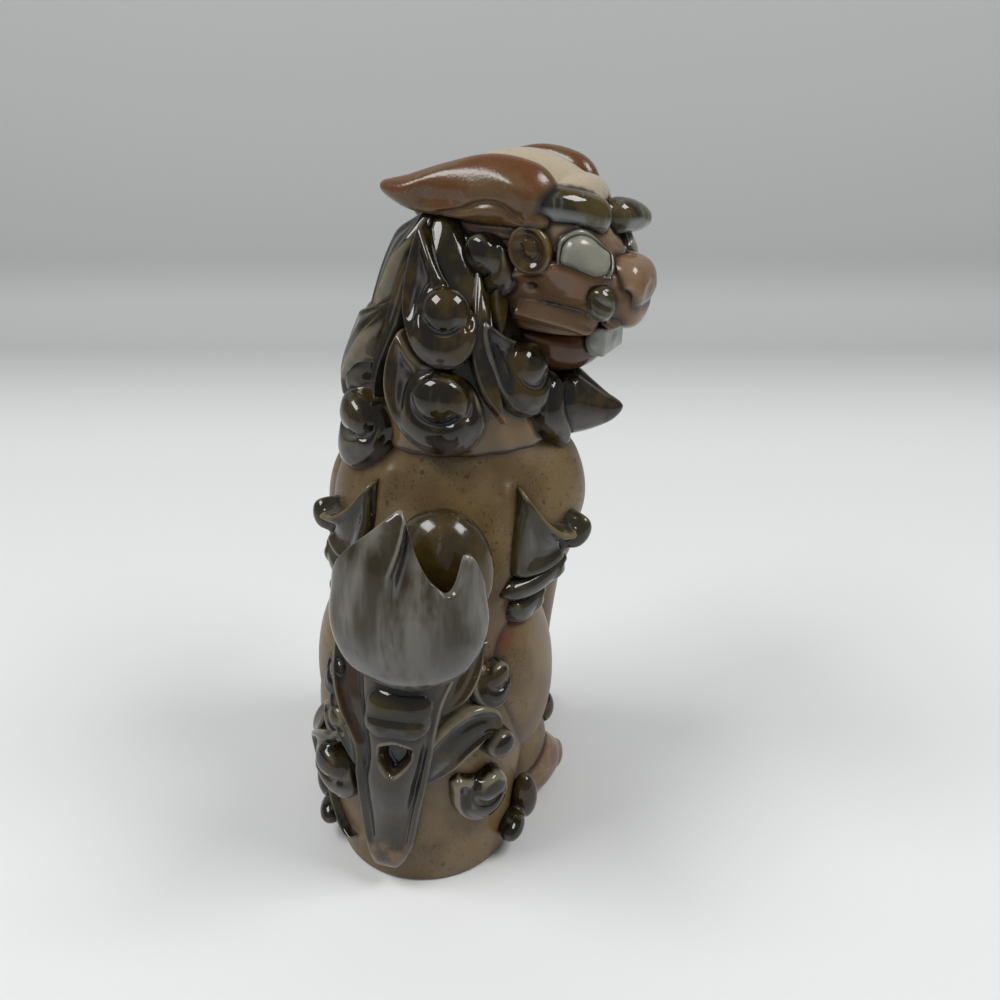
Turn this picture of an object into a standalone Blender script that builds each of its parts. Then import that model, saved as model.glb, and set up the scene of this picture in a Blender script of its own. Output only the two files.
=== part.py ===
"""A seated stoneware lion-dog that looks back over its right shoulder.

The potter throws and presses a hollow body, open at the foot, and lutes every other piece
onto it: head, jaw, ears, brows, mane curls, legs, paws and a flame-shaped tail. Each piece
is kneaded here from rolls and balls of clay, then pressed onto the pieces laid before it.

Sizes are in millimetres and degrees. The dog faces +X with its right side towards -Y.
"""
import math
from collections import namedtuple

import bmesh
import bpy
from mathutils import Matrix, Vector

MM = 0.001

# Clay and joints
WALL = 5.0
CLEARANCE = 0.3
CROWN_WALL = 8.0
GRAIN = 1.0
BODY_SIDES = 24
ROLL_SIDES = 12
ROLL_RINGS = 18

# Body, from the foot ring up to the stub that carries the head
FOOT_RADIUS = 26.0
FOOT_FORWARD = -15.0
RUMP_HEIGHT = 50.0
RUMP_FORWARD = -12.0
RUMP_HALF_LENGTH = 30.0
RUMP_HALF_WIDTH = 31.0
CHEST_RISE = 53.0
CHEST_FORWARD = 4.0
CHEST_ASIDE = -8.0
CHEST_HALF_LENGTH = 27.0
CHEST_HALF_WIDTH = 36.0
WAIST_HALF_WIDTH = 26.0
NECK_RISE = 29.0
NECK_FORWARD = 6.0
NECK_ASIDE = -9.0
NECK_HALF_LENGTH = 20.0
NECK_HALF_WIDTH = 21.0
STUB_RISE = 30.0
STUB_RADIUS = 12.0
CHEST_HEIGHT = RUMP_HEIGHT + CHEST_RISE
NECK_HEIGHT = CHEST_HEIGHT + NECK_RISE
STUB_HEIGHT = NECK_HEIGHT + STUB_RISE

# Mane, a thick collar round the neck
MANE_HALF_LENGTH = 24.0
MANE_HALF_WIDTH = 25.0
MANE_RISE = 55.0
MANE_TOP = NECK_HEIGHT + MANE_RISE

# Head, turned to the dog's right and a little further back
HEAD_RISE = 38.0
HEAD_HEIGHT = NECK_HEIGHT + HEAD_RISE
HEAD_FORWARD = 14.0
HEAD_ASIDE = -22.0
HEAD_TURN = 108.0
HEAD_HALF_WIDTH = 18.5
SKULL_RISE = 28.5
MUZZLE_REACH = 42.0
NOSE_HALF_WIDTH = 8.0
JAW_HALF_WIDTH = 12.0
JAW_DROP = 21.0
EAR_LENGTH = 43.0

# Legs and paws
FORELEG_FORWARD = 37.0
FORELEG_SPREAD = 19.0
FORELEG_RADIUS = 8.5
FORE_PAW_LENGTH = 24.0
HIND_PAW_LENGTH = 24.0
HIND_PAW_SPREAD = 31.0
PAW_RADIUS = 8.5
HAUNCH_HALF_HEIGHT = 33.0
HAUNCH_SPREAD = 19.5
HAUNCH_ASIDE = -2.0

# Tail
TAIL_COLLAR_RISE = 24.0
TAIL_COLLAR_HEIGHT = RUMP_HEIGHT + TAIL_COLLAR_RISE
TAIL_BUD_LENGTH = 47.0
TAIL_BUD_HALF_WIDTH = 15.7
TAIL_LEAN = 49.0
STEM_FOOT_HEIGHT = 9.0

# Glazes: colour, roughness
BUFF = ((0.40, 0.32, 0.21), 0.42)
IRON_BROWN = ((0.23, 0.11, 0.06), 0.30)
RED_BROWN = ((0.22, 0.11, 0.08), 0.30)
OLIVE = ((0.055, 0.050, 0.028), 0.12)
AMBER = ((0.14, 0.08, 0.03), 0.14)
MILKY = ((0.22, 0.22, 0.20), 0.18)
CELADON = ((0.50, 0.54, 0.49), 0.15)

Spot = namedtuple("Spot", "centre out across deep")
finished = []


def remove_everything():
    for thing in list(bpy.data.objects):
        bpy.data.objects.remove(thing, do_unlink=True)


def through(keys, rows, key):
    """Value at key of the smooth curve through the rows, each row a list of numbers."""
    key = min(max(key, keys[0]), keys[-1])
    i = 0
    while i < len(keys) - 2 and key > keys[i + 1]:
        i += 1
    span = keys[i + 1] - keys[i]
    s = (key - keys[i]) / span

    def slope(k, column):
        low, high = max(k - 1, 0), min(k + 1, len(keys) - 1)
        return (rows[high][column] - rows[low][column]) / (keys[high] - keys[low])

    values = []
    for column in range(len(rows[0])):
        start, end = rows[i][column], rows[i + 1][column]
        leave, arrive = slope(i, column) * span, slope(i + 1, column) * span
        values.append(start * (2 * s**3 - 3 * s**2 + 1) + leave * (s**3 - 2 * s**2 + s)
                      + end * (3 * s**2 - 2 * s**3) + arrive * (s**3 - s**2))
    return values


class Form:
    """Clay laid up in elliptical rings along a spine, and a map of its own surface.

    A ring is (station, centre, first half axis, second half axis). A place on the surface
    is given by its station, its angle from the first axis towards the second, and its lift.
    """

    def __init__(self, rings):
        self.stations = [ring[0] for ring in rings]
        self.rows = [[*ring[1], *ring[2], *ring[3]] for ring in rings]

    def ring(self, station):
        row = through(self.stations, self.rows, station)
        return Vector(row[0:3]), Vector(row[3:6]), Vector(row[6:9])

    def place(self, station, angle, lift=0.0):
        """The point over the surface there, and the direction straight out of it."""
        def skin(s, a):
            centre, first, second = self.ring(s)
            return centre + first * math.cos(a) + second * math.sin(a)

        a = math.radians(angle)
        here = skin(station, a)
        along = skin(station + 0.5, a) - skin(station - 0.5, a)
        around = skin(station, a + 0.02) - skin(station, a - 0.02)
        out = around.cross(along).normalized()
        if out.dot(here - self.ring(station)[0]) < 0:
            out.negate()
        return here + out * lift, out

    def girth(self, station):
        """Millimetres of surface for each degree of angle at that station."""
        _, first, second = self.ring(station)
        return math.radians((first.length + second.length) / 2)

    def skin(self, clay, rings, sides, inset=0.0, start=None, end=None):
        """Add the form to the clay as one closed skin, drawn in by the inset."""
        first = self.stations[0] if start is None else start
        last = self.stations[-1] if end is None else end
        loops = []
        for i in range(rings + 1):
            centre, one, two = self.ring(first + (last - first) * i / rings)
            one = one.normalized() * (one.length - inset)
            two = two.normalized() * (two.length - inset)
            turns = [2 * math.pi * k / sides for k in range(sides)]
            loops.append([clay.verts.new(centre + one * math.cos(t) + two * math.sin(t))
                          for t in turns])
        close_skin(clay, loops)


def close_skin(clay, loops):
    """Faces between the loops, and a flat face over each end."""
    sides = len(loops[0])
    for below, above in zip(loops, loops[1:]):
        for k in range(sides):
            n = (k + 1) % sides
            clay.faces.new((below[k], below[n], above[n], above[k]))
    clay.faces.new(list(reversed(loops[0])))
    clay.faces.new(loops[-1])


def roll(clay, spots, rings=ROLL_RINGS):
    """A rolled strand through the spots, with rounded ends.

    Each spot gives its centre, the direction that its back faces, its half width across
    and its half thickness.
    """
    keys = [0.0]
    for before, after in zip(spots, spots[1:]):
        keys.append(keys[-1] + (after.centre - before.centre).length)
    rows = [[*spot.centre, *spot.out, spot.across, spot.deep] for spot in spots]
    length = keys[-1]
    loops = []
    for i in range(rings + 1):
        key = length * (0.5 - 0.5 * math.cos(math.pi * i / rings))
        row = through(keys, rows, key)
        ahead = Vector(through(keys, rows, key + 0.01 * length)[0:3])
        behind = Vector(through(keys, rows, key - 0.01 * length)[0:3])
        along = (ahead - behind).normalized()
        side = along.cross(Vector(row[3:6])).normalized()
        back = side.cross(along)
        cap = min(max(row[6], row[7]), length / 2)
        near_end = min(1.0, min(key, length - key) / cap)
        rounding = math.sqrt(max(1.0 - (1.0 - near_end) ** 2, 0.0)) + 0.02
        loops.append([clay.verts.new(Vector(row[0:3])
                                     + side * row[6] * rounding * math.cos(turn)
                                     + back * row[7] * rounding * math.sin(turn))
                      for turn in (2 * math.pi * k / ROLL_SIDES for k in range(ROLL_SIDES))])
    close_skin(clay, loops)


def ball(clay, centre, out, along, radii):
    """An egg with its half sizes along, across and out of the surface it lies on."""
    out = out.normalized()
    across = out.cross(along).normalized()
    along = across.cross(out)
    axes = Matrix((along * radii[0], across * radii[1], out * radii[2])).transposed()
    place = Matrix.Translation(centre) @ axes.to_4x4()
    bmesh.ops.create_icosphere(clay, subdivisions=2, radius=1.0, matrix=place)


def on(form, *places):
    """Spots over a form, from (station, angle, lift, half width, half thickness)."""
    spots = []
    for station, angle, lift, across, deep in places:
        centre, out = form.place(station, angle, lift)
        spots.append(Spot(centre, out, across, deep))
    return spots


def stud(clay, form, station, angle, lift, radii):
    """An egg on a form; its first half size runs along the form's stations."""
    centre, out = form.place(station, angle, lift)
    ahead = form.place(station + 1.0, angle, lift)[0]
    ball(clay, centre, out, ahead - centre, radii)


def comma(clay, form, eye, radius, tip, wrap, thick=0.5, pad=1.45):
    """A curl of hair: a round eye, a strand that winds in to it from its tip, and a pad.

    The eye and the tip are (station, angle) on the form. The strand closes in on the eye
    while it turns through the wrap angle, anticlockwise as seen from outside when positive.
    """
    girth = form.girth(eye[0])
    turned = (tip[1] - eye[1] + 180) % 360 - 180
    reach = Vector((turned * girth, tip[0] - eye[0]))
    far, rim = reach.length, radius * 1.3
    bearing = math.atan2(reach.y, reach.x)
    places = []
    steps = 9
    for i in range(steps):
        share = i / (steps - 1)
        from_eye = rim + (far - rim) * (1 - share) ** 2
        turn = bearing + math.radians(wrap) * share
        station = eye[0] + from_eye * math.sin(turn)
        angle = eye[1] + from_eye * math.cos(turn) / girth
        swell = math.sin(math.pi * (0.12 + 0.74 * share))
        width = max(radius * thick * swell, 1.2)
        places.append((station, angle, width * 0.45 + radius * 0.3 * share, width, width))
    roll(clay, on(form, *places), rings=26)
    stud(clay, form, eye[0], eye[1], radius * 0.45, (radius, radius, radius * 0.95))
    stud(clay, form, eye[0], eye[1], 0.0, (radius * pad, radius * pad, radius * 0.8))


def largest_body(mesh):
    """Drop the crumbs that a cut leaves and keep the largest body."""
    clay = bmesh.new()
    clay.from_mesh(mesh)
    unseen = set(clay.faces)
    bodies = []
    while unseen:
        patch, edge_of = set(), [unseen.pop()]
        while edge_of:
            face = edge_of.pop()
            patch.add(face)
            for edge in face.edges:
                for other in edge.link_faces:
                    if other in unseen:
                        unseen.remove(other)
                        edge_of.append(other)
        bodies.append(patch)
    bodies.sort(key=lambda patch: sum(face.calc_area() for face in patch))
    crumbs = [face for patch in bodies[:-1] for face in patch]
    bmesh.ops.delete(clay, geom=crumbs, context="FACES")
    loose = [vert for vert in clay.verts if not vert.link_faces]
    bmesh.ops.delete(clay, geom=loose, context="VERTS")
    clay.to_mesh(mesh)
    clay.free()


def worked(thing):
    """The mesh of an object with its modifiers worked in."""
    shown = thing.evaluated_get(bpy.context.evaluated_depsgraph_get())
    mesh = bpy.data.meshes.new_from_object(shown)
    thing.modifiers.clear()
    return mesh


def to_object(name, clay):
    bmesh.ops.recalc_face_normals(clay, faces=clay.faces)
    bmesh.ops.scale(clay, vec=(MM, MM, MM), verts=clay.verts)
    mesh = bpy.data.meshes.new(name)
    clay.to_mesh(mesh)
    clay.free()
    thing = bpy.data.objects.new(name, mesh)
    bpy.context.scene.collection.objects.link(thing)
    return thing


def flatten_foot(mesh):
    """Cut a standing piece off flat on the table."""
    clay = bmesh.new()
    clay.from_mesh(mesh)
    everything = clay.verts[:] + clay.edges[:] + clay.faces[:]
    cut = bmesh.ops.bisect_plane(clay, geom=everything, dist=1e-7, plane_co=(0, 0, 0),
                                 plane_no=(0, 0, 1), clear_inner=True)
    rim = [item for item in cut["geom_cut"] if isinstance(item, bmesh.types.BMEdge)]
    bmesh.ops.contextual_create(clay, geom=rim)
    clay.to_mesh(mesh)
    clay.free()


def knead(name, clay, faces, grain=GRAIN, standing=False):
    """Work the rolls and balls of a piece into one smooth lump of about that many faces."""
    thing = to_object(name, clay)
    blend = thing.modifiers.new("blend", "REMESH")
    blend.mode = "VOXEL"
    blend.voxel_size = grain * MM
    soften = thing.modifiers.new("soften", "SMOOTH")
    soften.factor = 0.5
    soften.iterations = 3
    thing.data = worked(thing)
    thin = thing.modifiers.new("thin", "DECIMATE")
    thin.ratio = min(1.0, faces / (2 * len(thing.data.polygons)))
    thing.data = worked(thing)
    if standing:
        flatten_foot(thing.data)
    return thing


def cutter_of(thing):
    """The room that a piece takes up with its clearance, as a hidden cutter."""
    room = bpy.data.objects.new(thing.name + "_room", thing.data.copy())
    bpy.context.scene.collection.objects.link(room)
    swell = room.modifiers.new("swell", "DISPLACE")
    swell.strength = CLEARANCE * MM
    swell.mid_level = 0.0
    room.data = worked(room)
    room.hide_render = True
    room.display_type = "WIRE"
    return room


def reaches(one, other):
    """Whether the boxes of two meshes meet."""
    low_a, high_a = box_of(one)
    low_b, high_b = box_of(other)
    return all(low_a[i] < high_b[i] and low_b[i] < high_a[i] for i in range(3))


def box_of(mesh):
    places = [vert.co for vert in mesh.vertices]
    low = Vector(min(place[i] for place in places) for i in range(3))
    high = Vector(max(place[i] for place in places) for i in range(3))
    return low, high


def lute(thing, glaze):
    """Press a piece onto those laid before it, and glaze it."""
    room = cutter_of(thing)
    for other, other_room in finished:
        if reaches(thing.data, other_room.data):
            press = thing.modifiers.new("press_on_" + other.name, "BOOLEAN")
            press.operation = "DIFFERENCE"
            press.object = other_room
            press.use_self = True
    thing.data = worked(thing)
    largest_body(thing.data)
    thing.data.name = thing.name
    thing.data.shade_smooth()
    thing.data.set_sharp_from_angle(angle=math.radians(40))
    finish(thing, glaze)
    finished.append((thing, room))
    return thing


def finish(thing, glaze):
    colour, roughness = glaze
    material = bpy.data.materials.new(thing.name + "_glaze")
    material.use_nodes = True
    shader = material.node_tree.nodes["Principled BSDF"]
    shader.inputs["Base Color"].default_value = (*colour, 1.0)
    shader.inputs["Roughness"].default_value = roughness
    shader.inputs["Metallic"].default_value = 0.0
    thing.data.materials.clear()
    thing.data.materials.append(material)


# The forms that carry everything else
def level(height, forward, aside, half_length, half_width):
    """A level ring of the body or the mane."""
    centre = Vector((forward, aside, height))
    return (height, centre, Vector((half_length, 0, 0)), Vector((0, half_width, 0)))


def body_form():
    waist = (RUMP_HEIGHT + CHEST_HEIGHT) / 2
    shoulder = CHEST_HEIGHT + (NECK_HEIGHT - CHEST_HEIGHT) / 2
    return Form([
        level(0, FOOT_FORWARD, 0, FOOT_RADIUS, FOOT_RADIUS),
        level(RUMP_HEIGHT * 0.25, FOOT_FORWARD, 0, FOOT_RADIUS, FOOT_RADIUS + 1),
        level(RUMP_HEIGHT, RUMP_FORWARD, 0, RUMP_HALF_LENGTH, RUMP_HALF_WIDTH),
        level(waist, (RUMP_FORWARD + CHEST_FORWARD) / 2 - 2, CHEST_ASIDE * 0.4,
              RUMP_HALF_LENGTH - 2, WAIST_HALF_WIDTH),
        level(CHEST_HEIGHT, CHEST_FORWARD, CHEST_ASIDE, CHEST_HALF_LENGTH, CHEST_HALF_WIDTH),
        level(shoulder, NECK_FORWARD, NECK_ASIDE, CHEST_HALF_LENGTH - 2, CHEST_HALF_WIDTH - 3.5),
        level(NECK_HEIGHT, NECK_FORWARD, NECK_ASIDE, NECK_HALF_LENGTH, NECK_HALF_WIDTH),
        level(STUB_HEIGHT, HEAD_FORWARD - 4, HEAD_ASIDE + 10, STUB_RADIUS, STUB_RADIUS),
    ])


def mane_form():
    long, wide = MANE_HALF_LENGTH, MANE_HALF_WIDTH
    return Form([
        level(NECK_HEIGHT - 8, NECK_FORWARD, NECK_ASIDE, long - 4, wide - 3),
        level(NECK_HEIGHT, NECK_FORWARD - 1, NECK_ASIDE, long, wide),
        level(NECK_HEIGHT + 10, NECK_FORWARD - 1, NECK_ASIDE + 1, long, wide - 0.5),
        level(HEAD_HEIGHT - 15, NECK_FORWARD + 1, NECK_ASIDE + 1, long, wide - 5.5),
        level(HEAD_HEIGHT, NECK_FORWARD + 2, NECK_ASIDE + 1.5, long - 5, wide - 11),
        level(MANE_TOP - 5, NECK_FORWARD + 2, NECK_ASIDE + 2, long - 12, wide - 18),
        level(MANE_TOP, NECK_FORWARD + 2, NECK_ASIDE + 2, long - 18, wide - 21.5),
    ])


turn = math.radians(HEAD_TURN)
AHEAD = Vector((math.cos(turn), -math.sin(turn), 0))
LEFTWARD = Vector((math.sin(turn), math.cos(turn), 0))
UP = Vector((0, 0, 1))
HEAD_CENTRE = Vector((HEAD_FORWARD, HEAD_ASIDE, HEAD_HEIGHT))


def in_head(ahead, left, up):
    """A point in the head's own directions, measured from its centre."""
    return HEAD_CENTRE + AHEAD * ahead + LEFTWARD * left + UP * up


def head_form():
    def slice_of(ahead, top, bottom, half_width):
        return (ahead, in_head(ahead, 0, (top + bottom) / 2), UP * (top - bottom) / 2,
                LEFTWARD * half_width)

    wide = HEAD_HALF_WIDTH
    return Form([
        slice_of(-20, SKULL_RISE - 10, -2, wide - 9.5),
        slice_of(-12, SKULL_RISE - 3, -12, wide - 3),
        slice_of(-2, SKULL_RISE, -16, wide - 0.5),
        slice_of(8, SKULL_RISE, -17, wide),
        slice_of(17, SKULL_RISE - 4, -15, wide - 1),
        slice_of(MUZZLE_REACH - 18, SKULL_RISE - 10, -14, wide - 3),
        slice_of(MUZZLE_REACH - 13.5, 8, -14, wide - 5.5),
        slice_of(MUZZLE_REACH - 9.0, 3, -15, wide - 8),
        slice_of(MUZZLE_REACH - 5.5, 0, -14, wide - 10),
        slice_of(MUZZLE_REACH - 4.0, -3, -11, wide - 13.5),
    ])


BODY = body_form()
MANE = mane_form()
HEAD = head_form()
SIDES = (("right", -1), ("left", 1))


def make_body_shell():
    """The hollow body, open at the foot, with a flat foot ring to stand on."""
    clay = bmesh.new()
    BODY.skin(clay, rings=15, sides=BODY_SIDES)
    shell = to_object("body_shell", clay)
    hollow_clay = bmesh.new()
    BODY.skin(hollow_clay, rings=12, sides=BODY_SIDES, inset=WALL, start=-1.0,
              end=STUB_HEIGHT - CROWN_WALL)
    lowest = min(vert.co.z for vert in hollow_clay.verts)
    for vert in hollow_clay.verts:
        if vert.co.z < lowest + 1e-6:
            vert.co.z -= WALL
    hollow = to_object("body_hollow", hollow_clay)
    hollow.hide_render = True
    hollow.display_type = "WIRE"
    room = cutter_of(shell)
    scoop = shell.modifiers.new("scoop", "BOOLEAN")
    scoop.operation = "DIFFERENCE"
    scoop.object = hollow
    shell.data = worked(shell)
    shell.data.shade_smooth()
    shell.data.set_sharp_from_angle(angle=math.radians(40))
    finish(shell, BUFF)
    finished.append((shell, room))


def make_head():
    clay = bmesh.new()
    HEAD.skin(clay, rings=16, sides=24)
    stud(clay, HEAD, 23, 0, -5, (7, 15, 6))
    for _, side in SIDES:
        stud(clay, HEAD, 22, 105 * side, -3, (11, 7, 5))
    lute(knead("head", clay, faces=560), BUFF)


def make_jaw_and_teeth():
    clay = bmesh.new()
    chin = HEAD_HALF_WIDTH + 7.5
    roll(clay, [Spot(in_head(-2, 0, -JAW_DROP + 4), UP, JAW_HALF_WIDTH, 9),
                Spot(in_head(12, 0, -JAW_DROP), UP, JAW_HALF_WIDTH, 8),
                Spot(in_head(chin, 0, -JAW_DROP + 1), UP, JAW_HALF_WIDTH - 3.5, 6.5)])
    lute(knead("lower_jaw", clay, faces=170), RED_BROWN)
    clay = bmesh.new()
    ball(clay, in_head(chin + 1, 0, -JAW_DROP + 0.5), AHEAD, UP, (7, JAW_HALF_WIDTH - 3.5, 4))
    lute(knead("teeth", clay, faces=80), CELADON)


def make_nose():
    clay = bmesh.new()
    tip = MUZZLE_REACH - 5.5
    ball(clay, in_head(tip, 0, -5), AHEAD + UP * 0.3, UP, (9, NOSE_HALF_WIDTH, 5.2))
    for _, side in SIDES:
        ball(clay, in_head(tip - 1.5, side * (NOSE_HALF_WIDTH - 2.5), -7.5), AHEAD, UP,
             (6, 4.8, 5.0))
    lute(knead("nose", clay, faces=170), IRON_BROWN)


def make_face_pair(side_name, side):
    clay = bmesh.new()
    stud(clay, HEAD, MUZZLE_REACH - 15.7, 69 * side, 0.0, (6.6, 5.6, 3.0))
    lute(knead("eye_" + side_name, clay, faces=70, grain=0.8), CELADON)
    clay = bmesh.new()
    ahead = MUZZLE_REACH - 12.0
    roll(clay, on(HEAD, (ahead - 0.5, 76 * side, 0.8, 3.4, 3.2), (ahead, 98 * side, 1.2, 3.8, 3.4),
                  (ahead + 0.3, 122 * side, 0.8, 3.2, 3.0)))
    lute(knead("fang_bump_" + side_name, clay, faces=80, grain=0.8), OLIVE)
    clay = bmesh.new()
    stud(clay, HEAD, 14.5, 86 * side, 0.6, (5.6, 5.6, 2.6))
    stud(clay, HEAD, 14.5, 86 * side, 2.0, (2.6, 2.6, 2.6))
    lute(knead("temple_swirl_" + side_name, clay, faces=110, grain=0.8), AMBER)
    clay = bmesh.new()
    roll(clay, on(HEAD, (-13, 62 * side, 0.6, 2.0, 2.0), (-10, 78 * side, 1.4, 3.4, 3.0),
                  (-5, 94 * side, 1.6, 4.2, 3.4), (1, 100 * side, 1.4, 3.4, 3.0)))
    stud(clay, HEAD, 2.5, 90 * side, 1.6, (4.0, 4.0, 3.8))
    lute(knead("ear_curl_" + side_name, clay, faces=150, grain=0.8), OLIVE)


def make_brows():
    """The rolls over the eyes, which meet over the nose; the left one flares forward."""
    clay = bmesh.new()
    roll(clay, [Spot(in_head(13.5, -14.5, 17), UP, 3.2, 3.2),
                Spot(in_head(19, -11, 16.5), UP, 4.0, 3.8),
                Spot(in_head(MUZZLE_REACH - 16.8, -3.5, 13.5), UP, 3.2, 3.6)])
    lute(knead("brow_right", clay, faces=110, grain=0.8), OLIVE)
    clay = bmesh.new()
    bridge = MUZZLE_REACH - 16.6
    roll(clay, [Spot(in_head(bridge, 1.2, 12.0), UP, 3.2, 3.4),
                Spot(in_head(bridge + 2.6, 8, 11.4), UP, 3.9, 3.8),
                Spot(in_head(bridge + 5.1, 14.5, 10.4), UP, 3.0, 3.0),
                Spot(in_head(bridge + 6.1, 17.0, 10.2), UP, 2.0, 2.0)])
    lute(knead("brow_left", clay, faces=120, grain=0.8), OLIVE)


def make_ear(side_name, side):
    root = 16.0
    clay = bmesh.new()
    out = LEFTWARD * side + UP * 0.35
    roll(clay, [Spot(in_head(root, side * 13.5, 18.5), out, 4.5, 4.0),
                Spot(in_head(root - 0.30 * EAR_LENGTH, side * 17, 20.0), out, 8.5, 4.4),
                Spot(in_head(root - 0.58 * EAR_LENGTH, side * 19.5, 19.8), out, 7.0, 4.4),
                Spot(in_head(root - 0.82 * EAR_LENGTH, side * 20.5, 20.2), out, 4.2, 3.4),
                Spot(in_head(root - EAR_LENGTH, side * 21, 21.2), out, 1.4, 1.4)])
    lute(knead("ear_" + side_name, clay, faces=200), IRON_BROWN)


# Leaves of hair on the collar: half width, then root, middle and tip as (height over the
# neck, bearing)
MANE_LEAVES = (
    (4.4, (52, 146), (42, 122), (29, 120)),
    (4.8, (28, 138), (16, 112), (3, 108)),
    (4.2, (50, 96), (34, 82), (18, 82)),
    (4.4, (48, 60), (32, 30), (16, 24)),
    (4.2, (40, 20), (22, -6), (4, -8)),
)
LEAF_SWELL = (0.4, 1.0, 0.5)
LEAF_RELIEF = 2.6


def make_mane_collar():
    clay = bmesh.new()
    MANE.skin(clay, rings=10, sides=20)
    for half_width, *path in MANE_LEAVES:
        roll(clay, on(MANE, *((NECK_HEIGHT + height, bearing, LEAF_RELIEF / 2, half_width * swell,
                               LEAF_RELIEF) for (height, bearing), swell
                              in zip(path, LEAF_SWELL))))
    lute(knead("mane_collar", clay, faces=460, grain=1.2), OLIVE)


# Mane curls: name, eye (height over the neck, bearing), radius, tip, wrap
MANE_CURLS = (
    ("mane_curl_high_right", (29, -176), 6.0, (50, 150), 300),
    ("mane_curl_low_right", (9, -179), 7.2, (25, 146), 300),
    ("mane_curl_back_right", (-4, 115), 7.0, (16, 130), 150),
    ("cheek_curl_right", (15, -122), 5.2, (28, -150), -250),
    ("beard_curl_right", (2, -103), 5.0, (-7, -112), 160),
    ("mane_curl_high_back", (22, 110), 4.2, (44, 134), 240),
    ("mane_curl_back", (8, 88), 6.4, (26, 110), 230),
    ("mane_curl_low_back", (-5, 66), 5.4, (12, 58), -240),
    ("mane_curl_high_left", (27, 56), 5.8, (48, 90), -290),
    ("mane_curl_low_left", (8, 40), 7.0, (25, 70), -240),
    ("mane_curl_front_left", (-4, 8), 6.4, (16, 20), -220),
    ("cheek_curl_left", (15, -24), 5.2, (30, 2), 250),
    ("beard_curl_left", (2, -52), 5.0, (-7, -44), -160),
)


def make_mane_curls():
    for name, eye, radius, tip, wrap in MANE_CURLS:
        clay = bmesh.new()
        comma(clay, MANE, (NECK_HEIGHT + eye[0], eye[1]), radius,
              (NECK_HEIGHT + tip[0], tip[1]), wrap)
        lute(knead(name, clay, faces=150), OLIVE)
    clay = bmesh.new()
    roll(clay, on(MANE, (NECK_HEIGHT + 3, -88, 2, 9.0, 8.5), (NECK_HEIGHT, -88, 12, 6.5, 7.0),
                  (NECK_HEIGHT - 3, -88, 20, 1.6, 1.6)))
    lute(knead("beard_point", clay, faces=140), OLIVE)


def make_haunch(side_name, side):
    clay = bmesh.new()
    lean = Vector((-0.28, 0, 1)).normalized()
    outward = Vector((0, side, 0))
    middle = Vector((-4, HAUNCH_ASIDE + side * HAUNCH_SPREAD, RUMP_HEIGHT + 2))
    ball(clay, middle, outward, lean, (HAUNCH_HALF_HEIGHT, 24, 15.5))
    shin = Vector((7, HAUNCH_ASIDE + side * (HAUNCH_SPREAD + 4), RUMP_HEIGHT * 0.36))
    ball(clay, shin, outward, lean, (15, 14, 9))
    lute(knead("haunch_" + side_name, clay, faces=280, grain=1.3), BUFF)


def toes(clay, heel, length, radius, spread=0.62):
    """Three toes at the front of a paw."""
    for k in (-1, 0, 1):
        tip = heel + Vector((length - radius * 0.75 - abs(k) * 1.6, k * radius * spread, 0))
        ball(clay, tip - Vector((0, 0, radius * 0.25)), UP, Vector((1, 0, 0)),
             (radius * 0.75, radius * 0.38, radius * 0.62))


def make_hind_paw(side_name, side):
    clay = bmesh.new()
    heel = Vector((-4, side * (HIND_PAW_SPREAD - 4), PAW_RADIUS))
    reach = HIND_PAW_LENGTH - 2
    roll(clay, [Spot(heel, UP, PAW_RADIUS - 2.5, PAW_RADIUS),
                Spot(heel + Vector((reach * 0.5, side * 4, 0.5)), UP, PAW_RADIUS - 1.5, PAW_RADIUS + 1),
                Spot(heel + Vector((reach, side * 7, -2)), UP, PAW_RADIUS - 2, PAW_RADIUS - 2)])
    toes(clay, heel + Vector((1, side * 6.5, 0)), HIND_PAW_LENGTH + 1, PAW_RADIUS - 1.5)
    lute(knead("hind_paw_" + side_name, clay, faces=200, standing=True), RED_BROWN)


def make_foreleg(side_name, side):
    """A straight column from the shoulder down to the paw."""
    clay = bmesh.new()
    across = CHEST_ASIDE / 2 + side * FORELEG_SPREAD
    front = Vector((1, 0, 0))
    ball(clay, Vector((16, across + side * 7, CHEST_HEIGHT - 8)), Vector((0, side, 0)), UP,
         (22, 13, 12))
    roll(clay, [Spot(Vector((FORELEG_FORWARD - 13, across + side * 4, CHEST_HEIGHT - 4)), front,
                     FORELEG_RADIUS + 4.5, FORELEG_RADIUS + 4),
                Spot(Vector((FORELEG_FORWARD - 7, across + side * 3, CHEST_HEIGHT - 30)), front,
                     FORELEG_RADIUS + 2, FORELEG_RADIUS + 2),
                Spot(Vector((FORELEG_FORWARD - 1, across + side, RUMP_HEIGHT - 10)), front,
                     FORELEG_RADIUS, FORELEG_RADIUS),
                Spot(Vector((FORELEG_FORWARD, across, PAW_RADIUS)), front,
                     FORELEG_RADIUS, FORELEG_RADIUS)])
    lute(knead("foreleg_" + side_name, clay, faces=260, grain=1.2, standing=True), BUFF)
    clay = bmesh.new()
    heel = Vector((FORELEG_FORWARD - 2, across, PAW_RADIUS - 2))
    reach = FORE_PAW_LENGTH - PAW_RADIUS
    roll(clay, [Spot(heel, UP, PAW_RADIUS + 0.5, PAW_RADIUS),
                Spot(heel + Vector((reach, 0, -1.5)), UP, PAW_RADIUS, PAW_RADIUS - 2)])
    toes(clay, heel, FORE_PAW_LENGTH, PAW_RADIUS)
    lute(knead("fore_paw_" + side_name, clay, faces=190, standing=True), RED_BROWN)


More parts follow.
